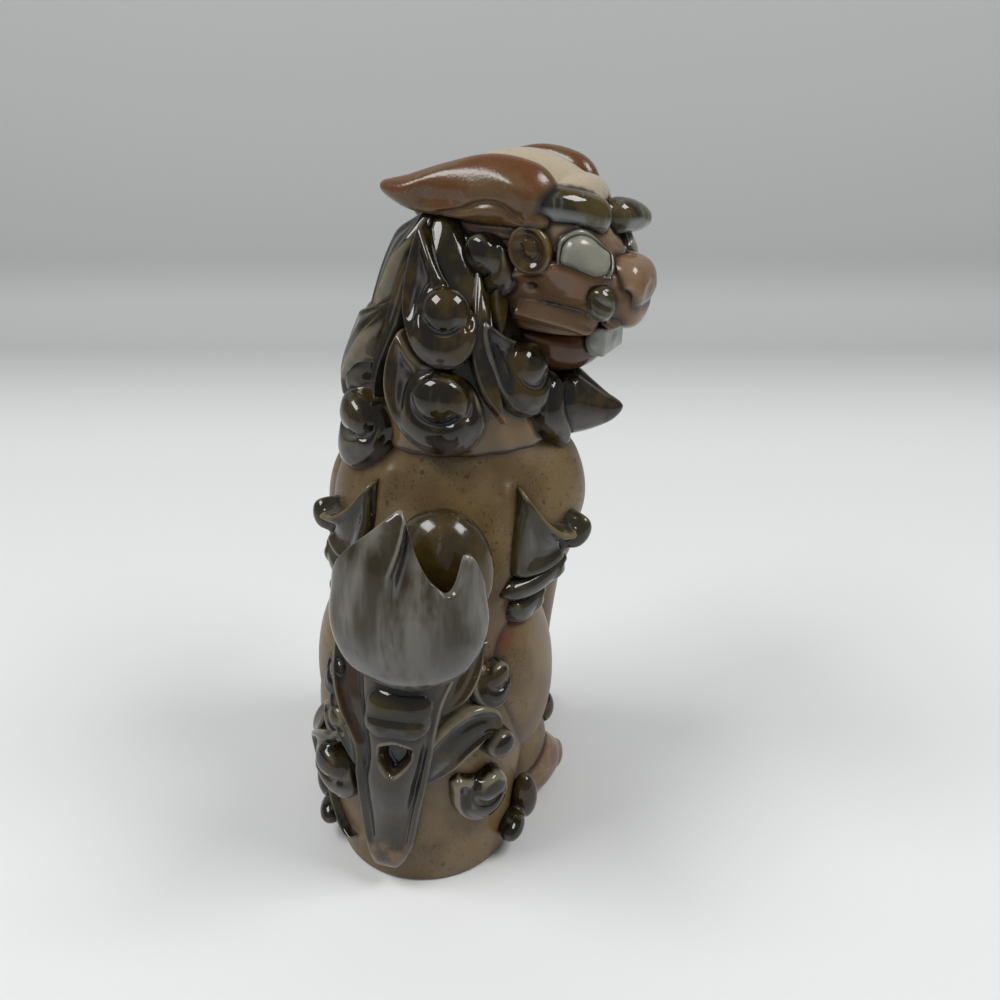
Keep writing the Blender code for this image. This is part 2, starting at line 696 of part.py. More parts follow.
# Flames of hair behind the elbows: name, faces, and the strand as (height over the chest,
# bearing, lift, half width, half thickness)
ELBOW_LOCKS = (
    ("elbow_wing_", 210, ((13, 146, 0.0, 2.4, 2.2), (6, 137, 0.6, 5.2, 3.0),
                          (-3, 128, 0.8, 8.2, 3.6), (-5, 117, 2.0, 6.6, 4.2),
                          (-2, 110, 2.6, 4.2, 4.2))),
    ("elbow_curl_", 120, ((-16, 136, 0.0, 3.4, 2.6), (-16, 120, 1.2, 4.8, 3.4),
                          (-12.5, 104, 2.0, 4.2, 3.8))),
    ("elbow_knob_", 100, ((-22, 124, 0.0, 3.0, 2.4), (-24, 112, 1.0, 4.2, 3.2),
                          (-22.5, 102, 1.8, 4.0, 3.6))),
)


def make_elbow(side_name, side):
    for stem, faces, strand in ELBOW_LOCKS:
        clay = bmesh.new()
        roll(clay, on(BODY, *((CHEST_HEIGHT + height, side * bearing, *sizes)
                              for height, bearing, *sizes in strand)))
        lute(knead(stem + side_name, clay, faces=faces), OLIVE)


def make_ankle_knob(side_name, side):
    clay = bmesh.new()
    ankle = Vector((15, side * (HIND_PAW_SPREAD + 1.5), 2 * PAW_RADIUS + 8))
    ball(clay, ankle, Vector((0, side, 0)), UP, (6.0, 4.2, 4.0))
    lute(knead("ankle_knob_" + side_name, clay, faces=70), OLIVE)


def tail_spot(aside, height, back, across, deep):
    centre = Vector((-TAIL_LEAN + back, aside, TAIL_COLLAR_HEIGHT + height))
    return Spot(centre, Vector((-1, 0, 0)), across, deep)


def make_tail():
    """A flame bud that stands up from the rump, and the stem and curls that hold it."""
    wide, tall = TAIL_BUD_HALF_WIDTH, TAIL_BUD_LENGTH
    clay = bmesh.new()
    ball(clay, Vector((-TAIL_LEAN + 15, -11, TAIL_COLLAR_HEIGHT + 28)), Vector((-1, 0, 0)), UP,
         (17, 13, 9))
    ball(clay, Vector((-TAIL_LEAN + 22, -5, TAIL_COLLAR_HEIGHT + 12)), Vector((-1, 0, 0)), UP,
         (22, 13, 14))
    lute(knead("tail_back_lobe", clay, faces=170), AMBER)
    clay = bmesh.new()
    roll(clay, [tail_spot(0, 0, 6, wide * 0.35, 6), tail_spot(0, 7, 2, wide * 0.8, 10),
                tail_spot(0, tall * 0.34, -1, wide, 11),
                tail_spot(-1, tall * 0.60, 0, wide * 0.72, 9),
                tail_spot(-2, tall * 0.84, 1, wide * 0.36, 5.5),
                tail_spot(-3.5, tall, 2, 1.6, 1.8)])
    lute(knead("tail_bud", clay, faces=330), MILKY)
    clay = bmesh.new()
    roll(clay, [tail_spot(-8, tall * 0.06, 4, 7, 6), tail_spot(-14, tall * 0.30, 2, 10.5, 9),
                tail_spot(-18, tall * 0.53, 4, 7.5, 6.5),
                tail_spot(-20.5, tall * 0.745, 7, 1.8, 1.8)])
    lute(knead("tail_side_petal", clay, faces=200), MILKY)
    make_tail_stem()
    make_tail_curls()


# Plate of the tail stem: share of the way down, bearing, half width
STEM_ROWS = ((0.0, 166, 19.0), (0.15, 167, 17.0), (0.27, 172, 12.5), (0.37, 176, 10.0),
             (0.68, 173, 8.0), (0.9, 169.5, 6.0), (1.0, 168, 4.4))
STEM_THICKNESS = 2.4
STEM_RIM = 2.0


def make_tail_stem():
    """A tapering plate down the back, with a raised rim on each side and a knob on top."""
    drop = STEM_FOOT_HEIGHT - TAIL_COLLAR_HEIGHT
    plate = []
    rims = {-1: [], 1: []}
    for share, bearing, half_width in STEM_ROWS:
        height = TAIL_COLLAR_HEIGHT + drop * share
        plate.append((height, bearing, 0.0, half_width, STEM_THICKNESS))
        for side, rim in rims.items():
            aside = (half_width - STEM_RIM) / BODY.girth(height)
            rim.append((height, bearing + side * aside, STEM_RIM, STEM_RIM, STEM_RIM))
    clay = bmesh.new()
    roll(clay, on(BODY, *plate))
    for rim in rims.values():
        roll(clay, on(BODY, *rim))
    knob_height = TAIL_COLLAR_HEIGHT + drop * 0.17
    stud(clay, BODY, knob_height, 178, STEM_RIM, (7.2, 7.6, STEM_THICKNESS + STEM_RIM))
    lute(knead("tail_stem", clay, faces=420), OLIVE)


# Curls beside the tail stem: name, eye (height over the tail collar, bearing), radius, tip, wrap
TAIL_CURLS = (
    ("tail_curl_high_right", (-4, -143), 3.4, (-16, -163), -190),
    ("tail_curl_mid_right", (-25, -136), 3.4, (-33, -168), -170),
    ("tail_curl_low_right", (-41, -134), 5.0, (-52, -150), 200),
    ("tail_curl_high_left", (-7, 141), 3.2, (-18, 158), 190),
    ("tail_curl_mid_left", (-21, 148), 3.2, (-34, 160), 170),
    ("tail_curl_low_left", (-40, 132), 5.6, (-60, 140), -230),
)


def make_tail_curls():
    for name, eye, radius, tip, wrap in TAIL_CURLS:
        clay = bmesh.new()
        comma(clay, BODY, (TAIL_COLLAR_HEIGHT + eye[0], eye[1]), radius,
              (TAIL_COLLAR_HEIGHT + tip[0], tip[1]), wrap)
        lute(knead(name, clay, faces=150, grain=0.9), OLIVE)


def make_hock_drop(side_name, side):
    clay = bmesh.new()
    hock = Vector((-16, side * (FOOT_RADIUS + 4.5), 14))
    ball(clay, hock, Vector((0, side, 0)), UP, (8, 4.2, 4))
    ball(clay, hock - Vector((7, side * 3, 5)), Vector((0, side, 0)), UP, (4, 7, 4))
    lute(knead("hock_drop_" + side_name, clay, faces=100), OLIVE)


def stand_over_origin():
    """Bring the middle of the figure's footprint over the origin."""
    boxes = [box_of(thing.data) for thing, _ in finished]
    low = [min(box[0][i] for box in boxes) for i in range(3)]
    high = [max(box[1][i] for box in boxes) for i in range(3)]
    middle = Vector(((low[0] + high[0]) / 2, (low[1] + high[1]) / 2, low[2]))
    for thing, room in finished:
        thing.data.transform(Matrix.Translation(-middle))
        bpy.data.objects.remove(room, do_unlink=True)


def main():
    remove_everything()
    make_body_shell()
    make_head()
    make_jaw_and_teeth()
    make_nose()
    make_brows()
    for side_name, side in SIDES:
        make_face_pair(side_name, side)
        make_ear(side_name, side)
    make_mane_collar()
    make_mane_curls()
    for side_name, side in SIDES:
        make_haunch(side_name, side)
        make_hind_paw(side_name, side)
        make_foreleg(side_name, side)
        make_elbow(side_name, side)
        make_ankle_knob(side_name, side)
    make_tail()
    for side_name, side in SIDES:
        make_hock_drop(side_name, side)
    stand_over_origin()


main()
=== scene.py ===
# %% [markdown]
# # A glazed stoneware lion-dog
#
# The real ornament is a hollow stoneware figure: a seated lion-dog that looks back over its
# right shoulder. The potter presses the body in a mould, lutes on the mane, the ears, the
# legs and the tail, and dips and brushes it with ash and iron glazes. We rebuild it in four
# stages: the clay forms, the relief on them, the glazes, and the light.

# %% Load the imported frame
import math

import bmesh
import bpy
import numpy as np
from mathutils import Matrix, Vector
from mathutils.bvhtree import BVHTree


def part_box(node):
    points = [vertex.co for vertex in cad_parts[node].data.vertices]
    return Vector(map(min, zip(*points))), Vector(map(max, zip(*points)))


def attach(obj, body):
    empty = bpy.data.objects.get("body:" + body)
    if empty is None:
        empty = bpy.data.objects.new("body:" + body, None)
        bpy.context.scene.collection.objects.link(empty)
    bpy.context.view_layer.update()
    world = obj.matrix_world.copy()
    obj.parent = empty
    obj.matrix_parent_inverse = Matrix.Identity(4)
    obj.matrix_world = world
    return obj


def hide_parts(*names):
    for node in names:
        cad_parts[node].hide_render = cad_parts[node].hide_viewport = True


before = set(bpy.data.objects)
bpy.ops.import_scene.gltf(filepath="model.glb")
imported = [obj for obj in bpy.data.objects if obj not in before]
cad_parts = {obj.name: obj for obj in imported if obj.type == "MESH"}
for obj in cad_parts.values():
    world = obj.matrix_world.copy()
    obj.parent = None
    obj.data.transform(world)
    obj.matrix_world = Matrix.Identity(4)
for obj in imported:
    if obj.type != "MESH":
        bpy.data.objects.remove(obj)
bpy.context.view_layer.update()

MM = 0.001
print("solids in the frame:", len(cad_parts))

# %% [markdown]
# ## Driving dimensions
#
# The same few sizes drive this model and the solids that it dresses. They are in
# millimetres, with the dog facing +X and its right side towards -Y. Keeping them together
# lets a reader change the pose of the head or the width of the chest in one place.

# %% Driving dimensions
WALL = 5.0
FOOT_RADIUS, FOOT_FORWARD = 26.0, -15.0
RUMP_HEIGHT, RUMP_FORWARD, RUMP_HALF_LENGTH, RUMP_HALF_WIDTH = 50.0, -12.0, 30.0, 31.0
WAIST_HALF_WIDTH = 26.0
CHEST_HEIGHT, CHEST_FORWARD, CHEST_ASIDE = 103.0, 4.0, -8.0
CHEST_HALF_LENGTH, CHEST_HALF_WIDTH = 27.0, 36.0
NECK_HEIGHT, NECK_FORWARD, NECK_ASIDE = 132.0, 6.0, -9.0
NECK_HALF_LENGTH, NECK_HALF_WIDTH = 20.0, 21.0
STUB_HEIGHT, STUB_RADIUS, CROWN_WALL = 162.0, 12.0, 8.0
MANE_HALF_LENGTH, MANE_HALF_WIDTH, MANE_TOP = 24.0, 25.0, 187.0
HEAD_HEIGHT, HEAD_FORWARD, HEAD_ASIDE, HEAD_TURN = 170.0, 14.0, -22.0, 108.0
HEAD_HALF_WIDTH, SKULL_RISE, MUZZLE_REACH = 18.5, 28.5, 42.0
JAW_HALF_WIDTH, JAW_DROP, NOSE_HALF_WIDTH = 12.0, 21.0, 8.0
EAR_LENGTH = 43.0
FORELEG_FORWARD, FORELEG_SPREAD, FORELEG_RADIUS = 37.0, 19.0, 8.5
FORE_PAW_LENGTH, HIND_PAW_LENGTH, HIND_PAW_SPREAD, PAW_RADIUS = 24.0, 24.0, 31.0, 8.5
HAUNCH_HALF_HEIGHT, HAUNCH_SPREAD, HAUNCH_ASIDE = 33.0, 19.5, -2.0
TAIL_COLLAR_HEIGHT, TAIL_LEAN = 74.0, 49.0
SIDES = (("right", -1), ("left", 1))
print("height of the skull over the table:", HEAD_HEIGHT + SKULL_RISE, "mm")

# %% [markdown]
# ## Forms laid up in rings
#
# Clay bodies are close to stacks of ovals. A form keeps a few ovals along a spine and gives
# the smooth surface through them, so that relief can be placed by height and bearing, the
# way a potter marks a pot on a wheel. We work out many points at once with numpy, because
# each relief has thousands of them.


# %% The smooth curve through a few rows
def through(keys, rows, at):
    """Rows of numbers on the smooth curve through the given rows, for an array of keys."""
    keys, rows = np.asarray(keys, float), np.asarray(rows, float)
    at = np.clip(np.asarray(at, float), keys[0], keys[-1])
    i = np.clip(np.searchsorted(keys, at, side="left") - 1, 0, len(keys) - 2)
    slopes = np.empty_like(rows)
    slopes[0] = (rows[1] - rows[0]) / (keys[1] - keys[0])
    slopes[-1] = (rows[-1] - rows[-2]) / (keys[-1] - keys[-2])
    slopes[1:-1] = (rows[2:] - rows[:-2]) / (keys[2:] - keys[:-2])[:, None]
    span = (keys[i + 1] - keys[i])[..., None]
    s = (at - keys[i])[..., None] / span
    return (rows[i] * (2 * s**3 - 3 * s**2 + 1) + slopes[i] * span * (s**3 - 2 * s**2 + s)
            + rows[i + 1] * (3 * s**2 - 2 * s**3) + slopes[i + 1] * span * (s**3 - s**2))


print("half way up a curve through 0, 1, 4:", through((0, 1, 2), ((0,), (1,), (4,)), [1.5])[0])

# %% A form and the map of its own surface
class Form:
    """Elliptical rings (station, centre, first half axis, second half axis) and their skin.

    hand is 1 where the angle grows to the right and the station grows upwards, seen from
    outside, and -1 where it is the other way round.
    """

    def __init__(self, rings, hand=1):
        self.stations = np.array([ring[0] for ring in rings], float)
        self.rows = np.array([[*ring[1], *ring[2], *ring[3]] for ring in rings], float)
        self.hand = hand

    def ring(self, station):
        row = through(self.stations, self.rows, station)
        return row[..., 0:3], row[..., 3:6], row[..., 6:9]

    def skin_point(self, station, angle):
        """Points on the bare surface, for arrays of stations and of angles in degrees."""
        centre, first, second = self.ring(station)
        turn = np.radians(angle)[..., None]
        return centre + first * np.cos(turn) + second * np.sin(turn)

    def place(self, station, angle, lift=0.0):
        """Points over the surface, and the directions straight out of it."""
        station, angle = np.asarray(station, float), np.asarray(angle, float)
        here = self.skin_point(station, angle)
        along = self.skin_point(station + 0.5, angle) - self.skin_point(station - 0.5, angle)
        around = self.skin_point(station, angle + 1.0) - self.skin_point(station, angle - 1.0)
        out = np.cross(around, along)
        out /= np.linalg.norm(out, axis=-1, keepdims=True) + 1e-9
        inward = np.sum(out * (here - self.ring(station)[0]), axis=-1, keepdims=True) < 0
        out = np.where(inward, -out, out)
        return here + out * np.asarray(lift, float)[..., None], out

    def girth(self, station):
        """Millimetres of surface for each degree of angle at that station."""
        _, first, second = self.ring(station)
        size = np.linalg.norm(first, axis=-1) + np.linalg.norm(second, axis=-1)
        return np.radians(size / 2)


post = Form([(height, (0, 0, height), (20, 0, 0), (0, 20, 0)) for height in (0, 10, 20)])
print("one degree on a post 40 mm thick:", round(float(post.girth(10.0)), 3), "mm")

# %% The body, the mane and the head as forms
def oval(height, forward, aside, half_length, half_width):
    """One level ring of a form, with the station counted as height."""
    return (height, (forward, aside, height), (half_length, 0, 0), (0, half_width, 0))


def body_form():
    waist = (RUMP_HEIGHT + CHEST_HEIGHT) / 2
    shoulder = CHEST_HEIGHT + (NECK_HEIGHT - CHEST_HEIGHT) / 2
    return Form([
        oval(0, FOOT_FORWARD, 0, FOOT_RADIUS, FOOT_RADIUS),
        oval(RUMP_HEIGHT * 0.25, FOOT_FORWARD, 0, FOOT_RADIUS, FOOT_RADIUS + 1),
        oval(RUMP_HEIGHT, RUMP_FORWARD, 0, RUMP_HALF_LENGTH, RUMP_HALF_WIDTH),
        oval(waist, (RUMP_FORWARD + CHEST_FORWARD) / 2 - 2, CHEST_ASIDE * 0.4,
              RUMP_HALF_LENGTH - 2, WAIST_HALF_WIDTH),
        oval(CHEST_HEIGHT, CHEST_FORWARD, CHEST_ASIDE, CHEST_HALF_LENGTH, CHEST_HALF_WIDTH),
        oval(shoulder, NECK_FORWARD, NECK_ASIDE, CHEST_HALF_LENGTH - 2,
              CHEST_HALF_WIDTH - 3.5),
        oval(NECK_HEIGHT, NECK_FORWARD, NECK_ASIDE, NECK_HALF_LENGTH, NECK_HALF_WIDTH),
        oval(STUB_HEIGHT, HEAD_FORWARD - 4, HEAD_ASIDE + 10, STUB_RADIUS, STUB_RADIUS),
    ])


def mane_form():
    long, wide = MANE_HALF_LENGTH, MANE_HALF_WIDTH
    return Form([
        oval(NECK_HEIGHT - 16, NECK_FORWARD, NECK_ASIDE, long, wide + 6),
        oval(NECK_HEIGHT - 8, NECK_FORWARD, NECK_ASIDE, long, wide + 2),
        oval(NECK_HEIGHT, NECK_FORWARD - 1, NECK_ASIDE, long, wide),
        oval(NECK_HEIGHT + 10, NECK_FORWARD - 1, NECK_ASIDE + 1, long, wide - 0.5),
        oval(HEAD_HEIGHT - 15, NECK_FORWARD + 1, NECK_ASIDE + 1, long, wide - 5.5),
        oval(HEAD_HEIGHT, NECK_FORWARD + 2, NECK_ASIDE + 1.5, long - 5, wide - 11),
        oval(MANE_TOP - 5, NECK_FORWARD + 2, NECK_ASIDE + 2, long - 12, wide - 18),
        oval(MANE_TOP, NECK_FORWARD + 2, NECK_ASIDE + 2, long - 18, wide - 21.5),
    ])


turn = math.radians(HEAD_TURN)
AHEAD = np.array((math.cos(turn), -math.sin(turn), 0.0))
LEFTWARD = np.array((math.sin(turn), math.cos(turn), 0.0))
UP = np.array((0.0, 0.0, 1.0))
REAR = np.array((-1.0, 0.0, 0.0))
HEAD_CENTRE = np.array((HEAD_FORWARD, HEAD_ASIDE, HEAD_HEIGHT))


def in_head(ahead, left, up):
    """A point in the head's own directions, measured from its centre."""
    return HEAD_CENTRE + AHEAD * ahead + LEFTWARD * left + UP * up


def head_form():
    def slice_of(ahead, top, bottom, half_width):
        return (ahead, in_head(ahead, 0, (top + bottom) / 2), UP * (top - bottom) / 2,
                LEFTWARD * half_width)

    wide = HEAD_HALF_WIDTH
    return Form([
        slice_of(-20, SKULL_RISE - 10, -2, wide - 9.5),
        slice_of(-12, SKULL_RISE - 3, -12, wide - 3),
        slice_of(-2, SKULL_RISE, -16, wide - 0.5),
        slice_of(8, SKULL_RISE, -17, wide),
        slice_of(17, SKULL_RISE - 4, -15, wide - 1),
        slice_of(24, SKULL_RISE - 10, -14, wide - 3),
        slice_of(MUZZLE_REACH - 13.5, 8, -14, wide - 5.5),
        slice_of(MUZZLE_REACH - 9.0, 3, -15, wide - 8),
        slice_of(MUZZLE_REACH - 5.5, 0, -14, wide - 10),
        slice_of(MUZZLE_REACH - 4.0, -3, -11, wide - 13.5),
    ], hand=-1)


BODY, MANE, HEAD = body_form(), mane_form(), head_form()
print("head centre:", HEAD_CENTRE, "looking along", AHEAD.round(2))

# %% [markdown]
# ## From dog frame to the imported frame
#
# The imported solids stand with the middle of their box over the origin. The body's own form
# gives its lowest corner in the dog's frame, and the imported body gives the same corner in
# the row's frame. The difference moves every piece, so nothing is fitted by eye.

# %% The shift between the two frames
body_rings, body_turns = np.meshgrid(np.linspace(0, STUB_HEIGHT, 16), np.arange(24) * 15.0,
                                     indexing="ij")
body_corner = BODY.skin_point(body_rings, body_turns).reshape(-1, 3).min(axis=0)
DOG_TO_ROW = np.array(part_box("body_shell")[0]) / MM - body_corner
print("shift in mm:", DOG_TO_ROW.round(2))

# %% [markdown]
# ## Making clay pieces
#
# Two ways of working clay are enough for this figure. Thrown and pressed shells, petals and
# locks of hair are sheets of points laid out in rings, so their ridges stay crisp. Lumps
# that are kneaded together, such as a muzzle or a paw, are rolls and balls that a voxel
# remesh melts into one skin, which a little smoothing then softens like a wet finger.

# %% Pieces from rings of points
pieces = []


def new_piece(name, shape, glaze, nodes=None):
    """A piece from (points, faces) in the dog's frame, in place of the solid of its name."""
    points, faces = shape
    mesh = bpy.data.meshes.new(name)
    mesh.from_pydata(((np.asarray(points) + DOG_TO_ROW) * MM).tolist(), [], faces)
    mesh.update()
    thing = bpy.data.objects.new(name, mesh)
    bpy.context.scene.collection.objects.link(thing)
    settle(thing, glaze, [name] if nodes is None else nodes)


def settle(thing, glaze, nodes):
    """Turn the faces outwards, and let the piece ride on the one body of the dog."""
    shape = bmesh.new()
    shape.from_mesh(thing.data)
    bmesh.ops.recalc_face_normals(shape, faces=shape.faces)
    shape.to_mesh(thing.data)
    shape.free()
    thing.data.shade_smooth()
    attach(thing, "root")
    if nodes:
        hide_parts(*nodes)
    pieces.append((thing, glaze))


def ring_faces(rings, sides):
    """Quads between closed rings of points, and a fan of one face over each end."""
    index = np.arange(rings * sides).reshape(rings, sides)
    after = np.roll(index, -1, axis=1)
    quads = np.stack([index[:-1], after[:-1], after[1:], index[1:]], axis=-1)
    return [*quads.reshape(-1, 4).tolist(), index[0][::-1].tolist(), index[-1].tolist()]


def from_rings(name, loops, glaze, nodes=None):
    rings, sides = loops.shape[:2]
    new_piece(name, (loops.reshape(-1, 3), ring_faces(rings, sides)), glaze, nodes)


print("faces of a tube with 4 rings of 6 points:", len(ring_faces(4, 6)))

# %% Rolls and balls
def to_vector(values):
    return Vector([float(value) for value in values])


def add_rings(clay, loops):
    """A closed skin over rings of points, as a part of a lump of clay."""
    rings, sides = loops.shape[:2]
    corners = [clay.verts.new(to_vector(point)) for point in loops.reshape(-1, 3)]
    for face in ring_faces(rings, sides):
        clay.faces.new([corners[i] for i in face])


def roll(clay, spots, rings=32, sides=28):
    """A rolled strand through (centre, back direction, half width, half thickness) spots."""
    centres = np.array([spot[0] for spot in spots], float)
    keys = np.concatenate([[0.0], np.cumsum(np.linalg.norm(np.diff(centres, axis=0), axis=1))])
    rows = np.array([[*spot[0], *spot[1], spot[2], spot[3]] for spot in spots], float)
    length = keys[-1]
    at = length * (0.5 - 0.5 * np.cos(np.linspace(0, math.pi, rings + 1)))
    row = through(keys, rows, at)
    along = (through(keys, rows, at + 0.01 * length)[:, 0:3]
             - through(keys, rows, at - 0.01 * length)[:, 0:3])
    along /= np.linalg.norm(along, axis=1, keepdims=True)
    side = np.cross(along, row[:, 3:6])
    side /= np.linalg.norm(side, axis=1, keepdims=True)
    back = np.cross(side, along)
    cap = np.minimum(np.maximum(row[:, 6], row[:, 7]), length / 2)
    near_end = np.minimum(1.0, np.minimum(at, length - at) / cap)
    rounding = np.sqrt(np.maximum(1.0 - (1.0 - near_end) ** 2, 0.0)) + 0.02
    turns = 2 * math.pi * np.arange(sides) / sides
    add_rings(clay, row[:, None, 0:3]
              + side[:, None] * (row[:, 6] * rounding)[:, None, None] * np.cos(turns)[:, None]
              + back[:, None] * (row[:, 7] * rounding)[:, None, None] * np.sin(turns)[:, None])


def ball(clay, centre, out, along, radii):
    """An egg with its half sizes along, across and out of the surface it lies on."""
    out = to_vector(out).normalized()
    along = to_vector(along)
    across = out.cross(along).normalized()
    along = across.cross(out)
    axes = Matrix((along * radii[0], across * radii[1], out * radii[2])).transposed()
    place = Matrix.Translation(to_vector(centre)) @ axes.to_4x4()
    bmesh.ops.create_icosphere(clay, subdivisions=4, radius=1.0, matrix=place)


def on(form, *places):
    """Spots over a form, from (station, angle, lift, half width, half thickness)."""
    spots = []
    for station, angle, lift, across, deep in places:
        centre, out = form.place(station, angle, lift)
        spots.append((centre, out, across, deep))
    return spots


def line_on(form, places, lift=0.0, mirror=1):
    """A rounded line over a form through (station, angle) places."""
    station, angle = np.array(smooth_path(places, share=4)).T
    return form.place(station, angle * mirror, lift)[0]


def stud(clay, form, station, angle, lift, radii):
    """An egg of clay set on a form."""
    centre, out = form.place(station, angle, lift)
    ahead = form.place(station + 1.0, angle, lift)[0]
    ball(clay, centre, out, ahead - centre, radii)


egg = bmesh.new()
ball(egg, (0, 0, 0), UP, REAR, (3, 2, 1))
print("points of an egg of clay:", len(egg.verts))
egg.free()


# %% Arrays of points, and distances to a line
def vertex_array(mesh, field="co"):
    """The places or the normals of a mesh as an array."""
    flat = np.empty(len(mesh.vertices) * 3)
    if field == "co":
        mesh.vertices.foreach_get("co", flat)
    else:
        mesh.vertex_normals.foreach_get("vector", flat)
    return flat.reshape(-1, 3)


def line_distance(points, line):
    """Distance from each point to a line, and how far along it the nearest place is."""
    best, where = np.full(points.shape[:-1], 1e9), np.zeros(points.shape[:-1])
    for k, (start, end) in enumerate(zip(line[:-1], line[1:])):
        run = end - start
        share = np.clip((points - start) @ run / max(run @ run, 1e-9), 0, 1)
        gap = np.linalg.norm(points - start - share[..., None] * run, axis=-1)
        where = np.where(gap < best, (k + share) / (len(line) - 1), where)
        best = np.minimum(gap, best)
    return best, where


corner = line_distance(np.array([[3.0, 1.0]]), np.array([[0.0, 0.0], [2.0, 0.0], [2.0, 4.0]]))
print("distance and share along a bent line:", corner[0].round(2), corner[1].round(2))


# %% Kneaded lumps with pressed lines
def carve(mesh, strokes):
    """Press lines into a lump, or raise them: (points, width, height) for each."""
    points, out = vertex_array(mesh) / MM - DOG_TO_ROW, vertex_array(mesh, "normal")
    lift = np.zeros(len(points))
    for line, width, height in strokes:
        near, _ = line_distance(points, np.asarray(line, float))
        lift += height * np.exp(-((near / width) ** 2))
    moved = (points + out * lift[:, None] + DOG_TO_ROW) * MM
    mesh.vertices.foreach_set("co", moved.ravel())
    mesh.update()


def knead(name, clay, glaze, grain=0.5, rounds=4, standing=False, strokes=()):
    """Melt the rolls and balls of a piece into one skin with a voxel remesh."""
    bmesh.ops.recalc_face_normals(clay, faces=clay.faces)
    mesh = bpy.data.meshes.new(name)
    clay.to_mesh(mesh)
    clay.free()
    mesh.transform(Matrix.Scale(MM, 4) @ Matrix.Translation(to_vector(DOG_TO_ROW)))
    thing = bpy.data.objects.new(name, mesh)
    bpy.context.scene.collection.objects.link(thing)
    blend = thing.modifiers.new("blend", "REMESH")
    blend.mode = "VOXEL"
    blend.voxel_size = grain * MM
    soften = thing.modifiers.new("soften", "SMOOTH")
    soften.factor = 0.5
    soften.iterations = rounds
    shown = thing.evaluated_get(bpy.context.evaluated_depsgraph_get())
    thing.data = bpy.data.meshes.new_from_object(shown)
    thing.modifiers.clear()
    thing.data.name = name
    if strokes:
        carve(thing.data, strokes)
    if standing:
        stand_flat(thing.data)
    settle(thing, glaze, [name])


def stand_flat(mesh):
    """Cut a standing piece off flat on the table."""
    shape = bmesh.new()
    shape.from_mesh(mesh)
    everything = shape.verts[:] + shape.edges[:] + shape.faces[:]
    cut = bmesh.ops.bisect_plane(shape, geom=everything, dist=1e-7, plane_co=(0, 0, 0),
                                 plane_no=(0, 0, 1), clear_inner=True)
    rim = [item for item in cut["geom_cut"] if isinstance(item, bmesh.types.BMEdge)]
    bmesh.ops.contextual_create(shape, geom=rim)
    shape.to_mesh(mesh)
    shape.free()


# %% [markdown]
# ## Reliefs and strands on a form
#
# Most of the dog's character is low relief on a round form: curls, leaves of hair, eyes and
# swirls. A relief here is a fine sheet of points inside a drawn outline. A rule gives its
# height over the form at each point, and its border dips into the clay below, as luted
# relief does. A strand is the same along a path. Both are closed underneath.


# %% Outlines in millimetres to the right and up from an anchor
def bump_at(value, middle, width):
    return np.exp(-(((value - middle) / width) ** 2))


def smooth_step(value):
    value = np.clip(value, 0.0, 1.0)
    return value * value * (3 - 2 * value)


def soft_max(a, b, blend=0.6):
    mix = np.clip(0.5 + 0.5 * (a - b) / blend, 0, 1)
    return b + (a - b) * mix + blend * mix * (1 - mix)


def smooth_path(points, closed=False, share=8):
    """A rounded line through the points, with a few steps from each point to the next."""
    points = np.asarray(points, float)
    if closed:
        points = np.concatenate([points, points[:1]])
    last = len(points) - 1
    line = through(np.arange(last + 1), points, np.linspace(0, last, last * share + 1))
    return line[:-1] if closed else line


def round_outline(half_width, half_height, squareness=1.0, step=7.5):
    """A closed round outline; a squareness under 1 pushes its corners out."""
    turn = np.radians(np.arange(0, 360, step))
    across, up = (np.sign(part) * np.abs(part) ** squareness
                  for part in (np.cos(turn), np.sin(turn)))
    return np.stack([half_width * across, half_height * up], 1)


def inside_distance(x, y, loop):
    """Distance to the outline, counted up from it inside and down from it outside."""
    gap, _ = line_distance(np.stack([x, y], axis=-1), np.concatenate([loop, loop[:1]]))
    crossings = np.zeros(x.shape, int)
    for start, end in zip(loop, np.roll(loop, -1, axis=0)):
        if start[1] == end[1]:
            continue
        spans = (y < start[1]) != (y < end[1])
        at = start[0] + (y - start[1]) / (end[1] - start[1]) * (end[0] - start[0])
        crossings += spans & (x < at)
    return np.where(crossings % 2 == 1, gap, -gap)


middle = inside_distance(np.zeros((1, 1)), np.zeros((1, 1)), round_outline(4.0, 4.0))[0, 0]
print("from the middle of a 4 mm round to its edge:", middle.round(2))

# %% Anchors on a form
def over(form, anchor, x, y, lift, mirror=False):
    """Points over a form at x millimetres to the right of the anchor and y up from it."""
    if form.hand > 0:
        station = anchor[0] + y
        angle = anchor[1] + x / np.maximum(form.girth(station), 0.1)
    else:
        station = anchor[0] + x
        angle = anchor[1] + y / np.maximum(form.girth(station), 0.1)
    return form.place(station, -angle if mirror else angle, lift)


def above(level, places):
    """Places (height, bearing) that are counted from a level, as stations of a form."""
    return [(level + height, bearing) for height, bearing in places]


def local(form, anchor, places):
    """The way back for a few (station, angle) places: their x and y from the anchor."""
    places = np.asarray(places, float)
    size = form.girth(places[:, 0])
    turned = (np.mod(places[:, 1] - anchor[1] + 180.0, 360.0) - 180.0) * size
    risen = places[:, 0] - anchor[0]
    flat = (turned, risen) if form.hand > 0 else (risen, turned)
    return np.stack(flat, axis=1)


print("a quarter round the rump, in mm:", local(BODY, (RUMP_HEIGHT, 0), [(RUMP_HEIGHT, 90)]))

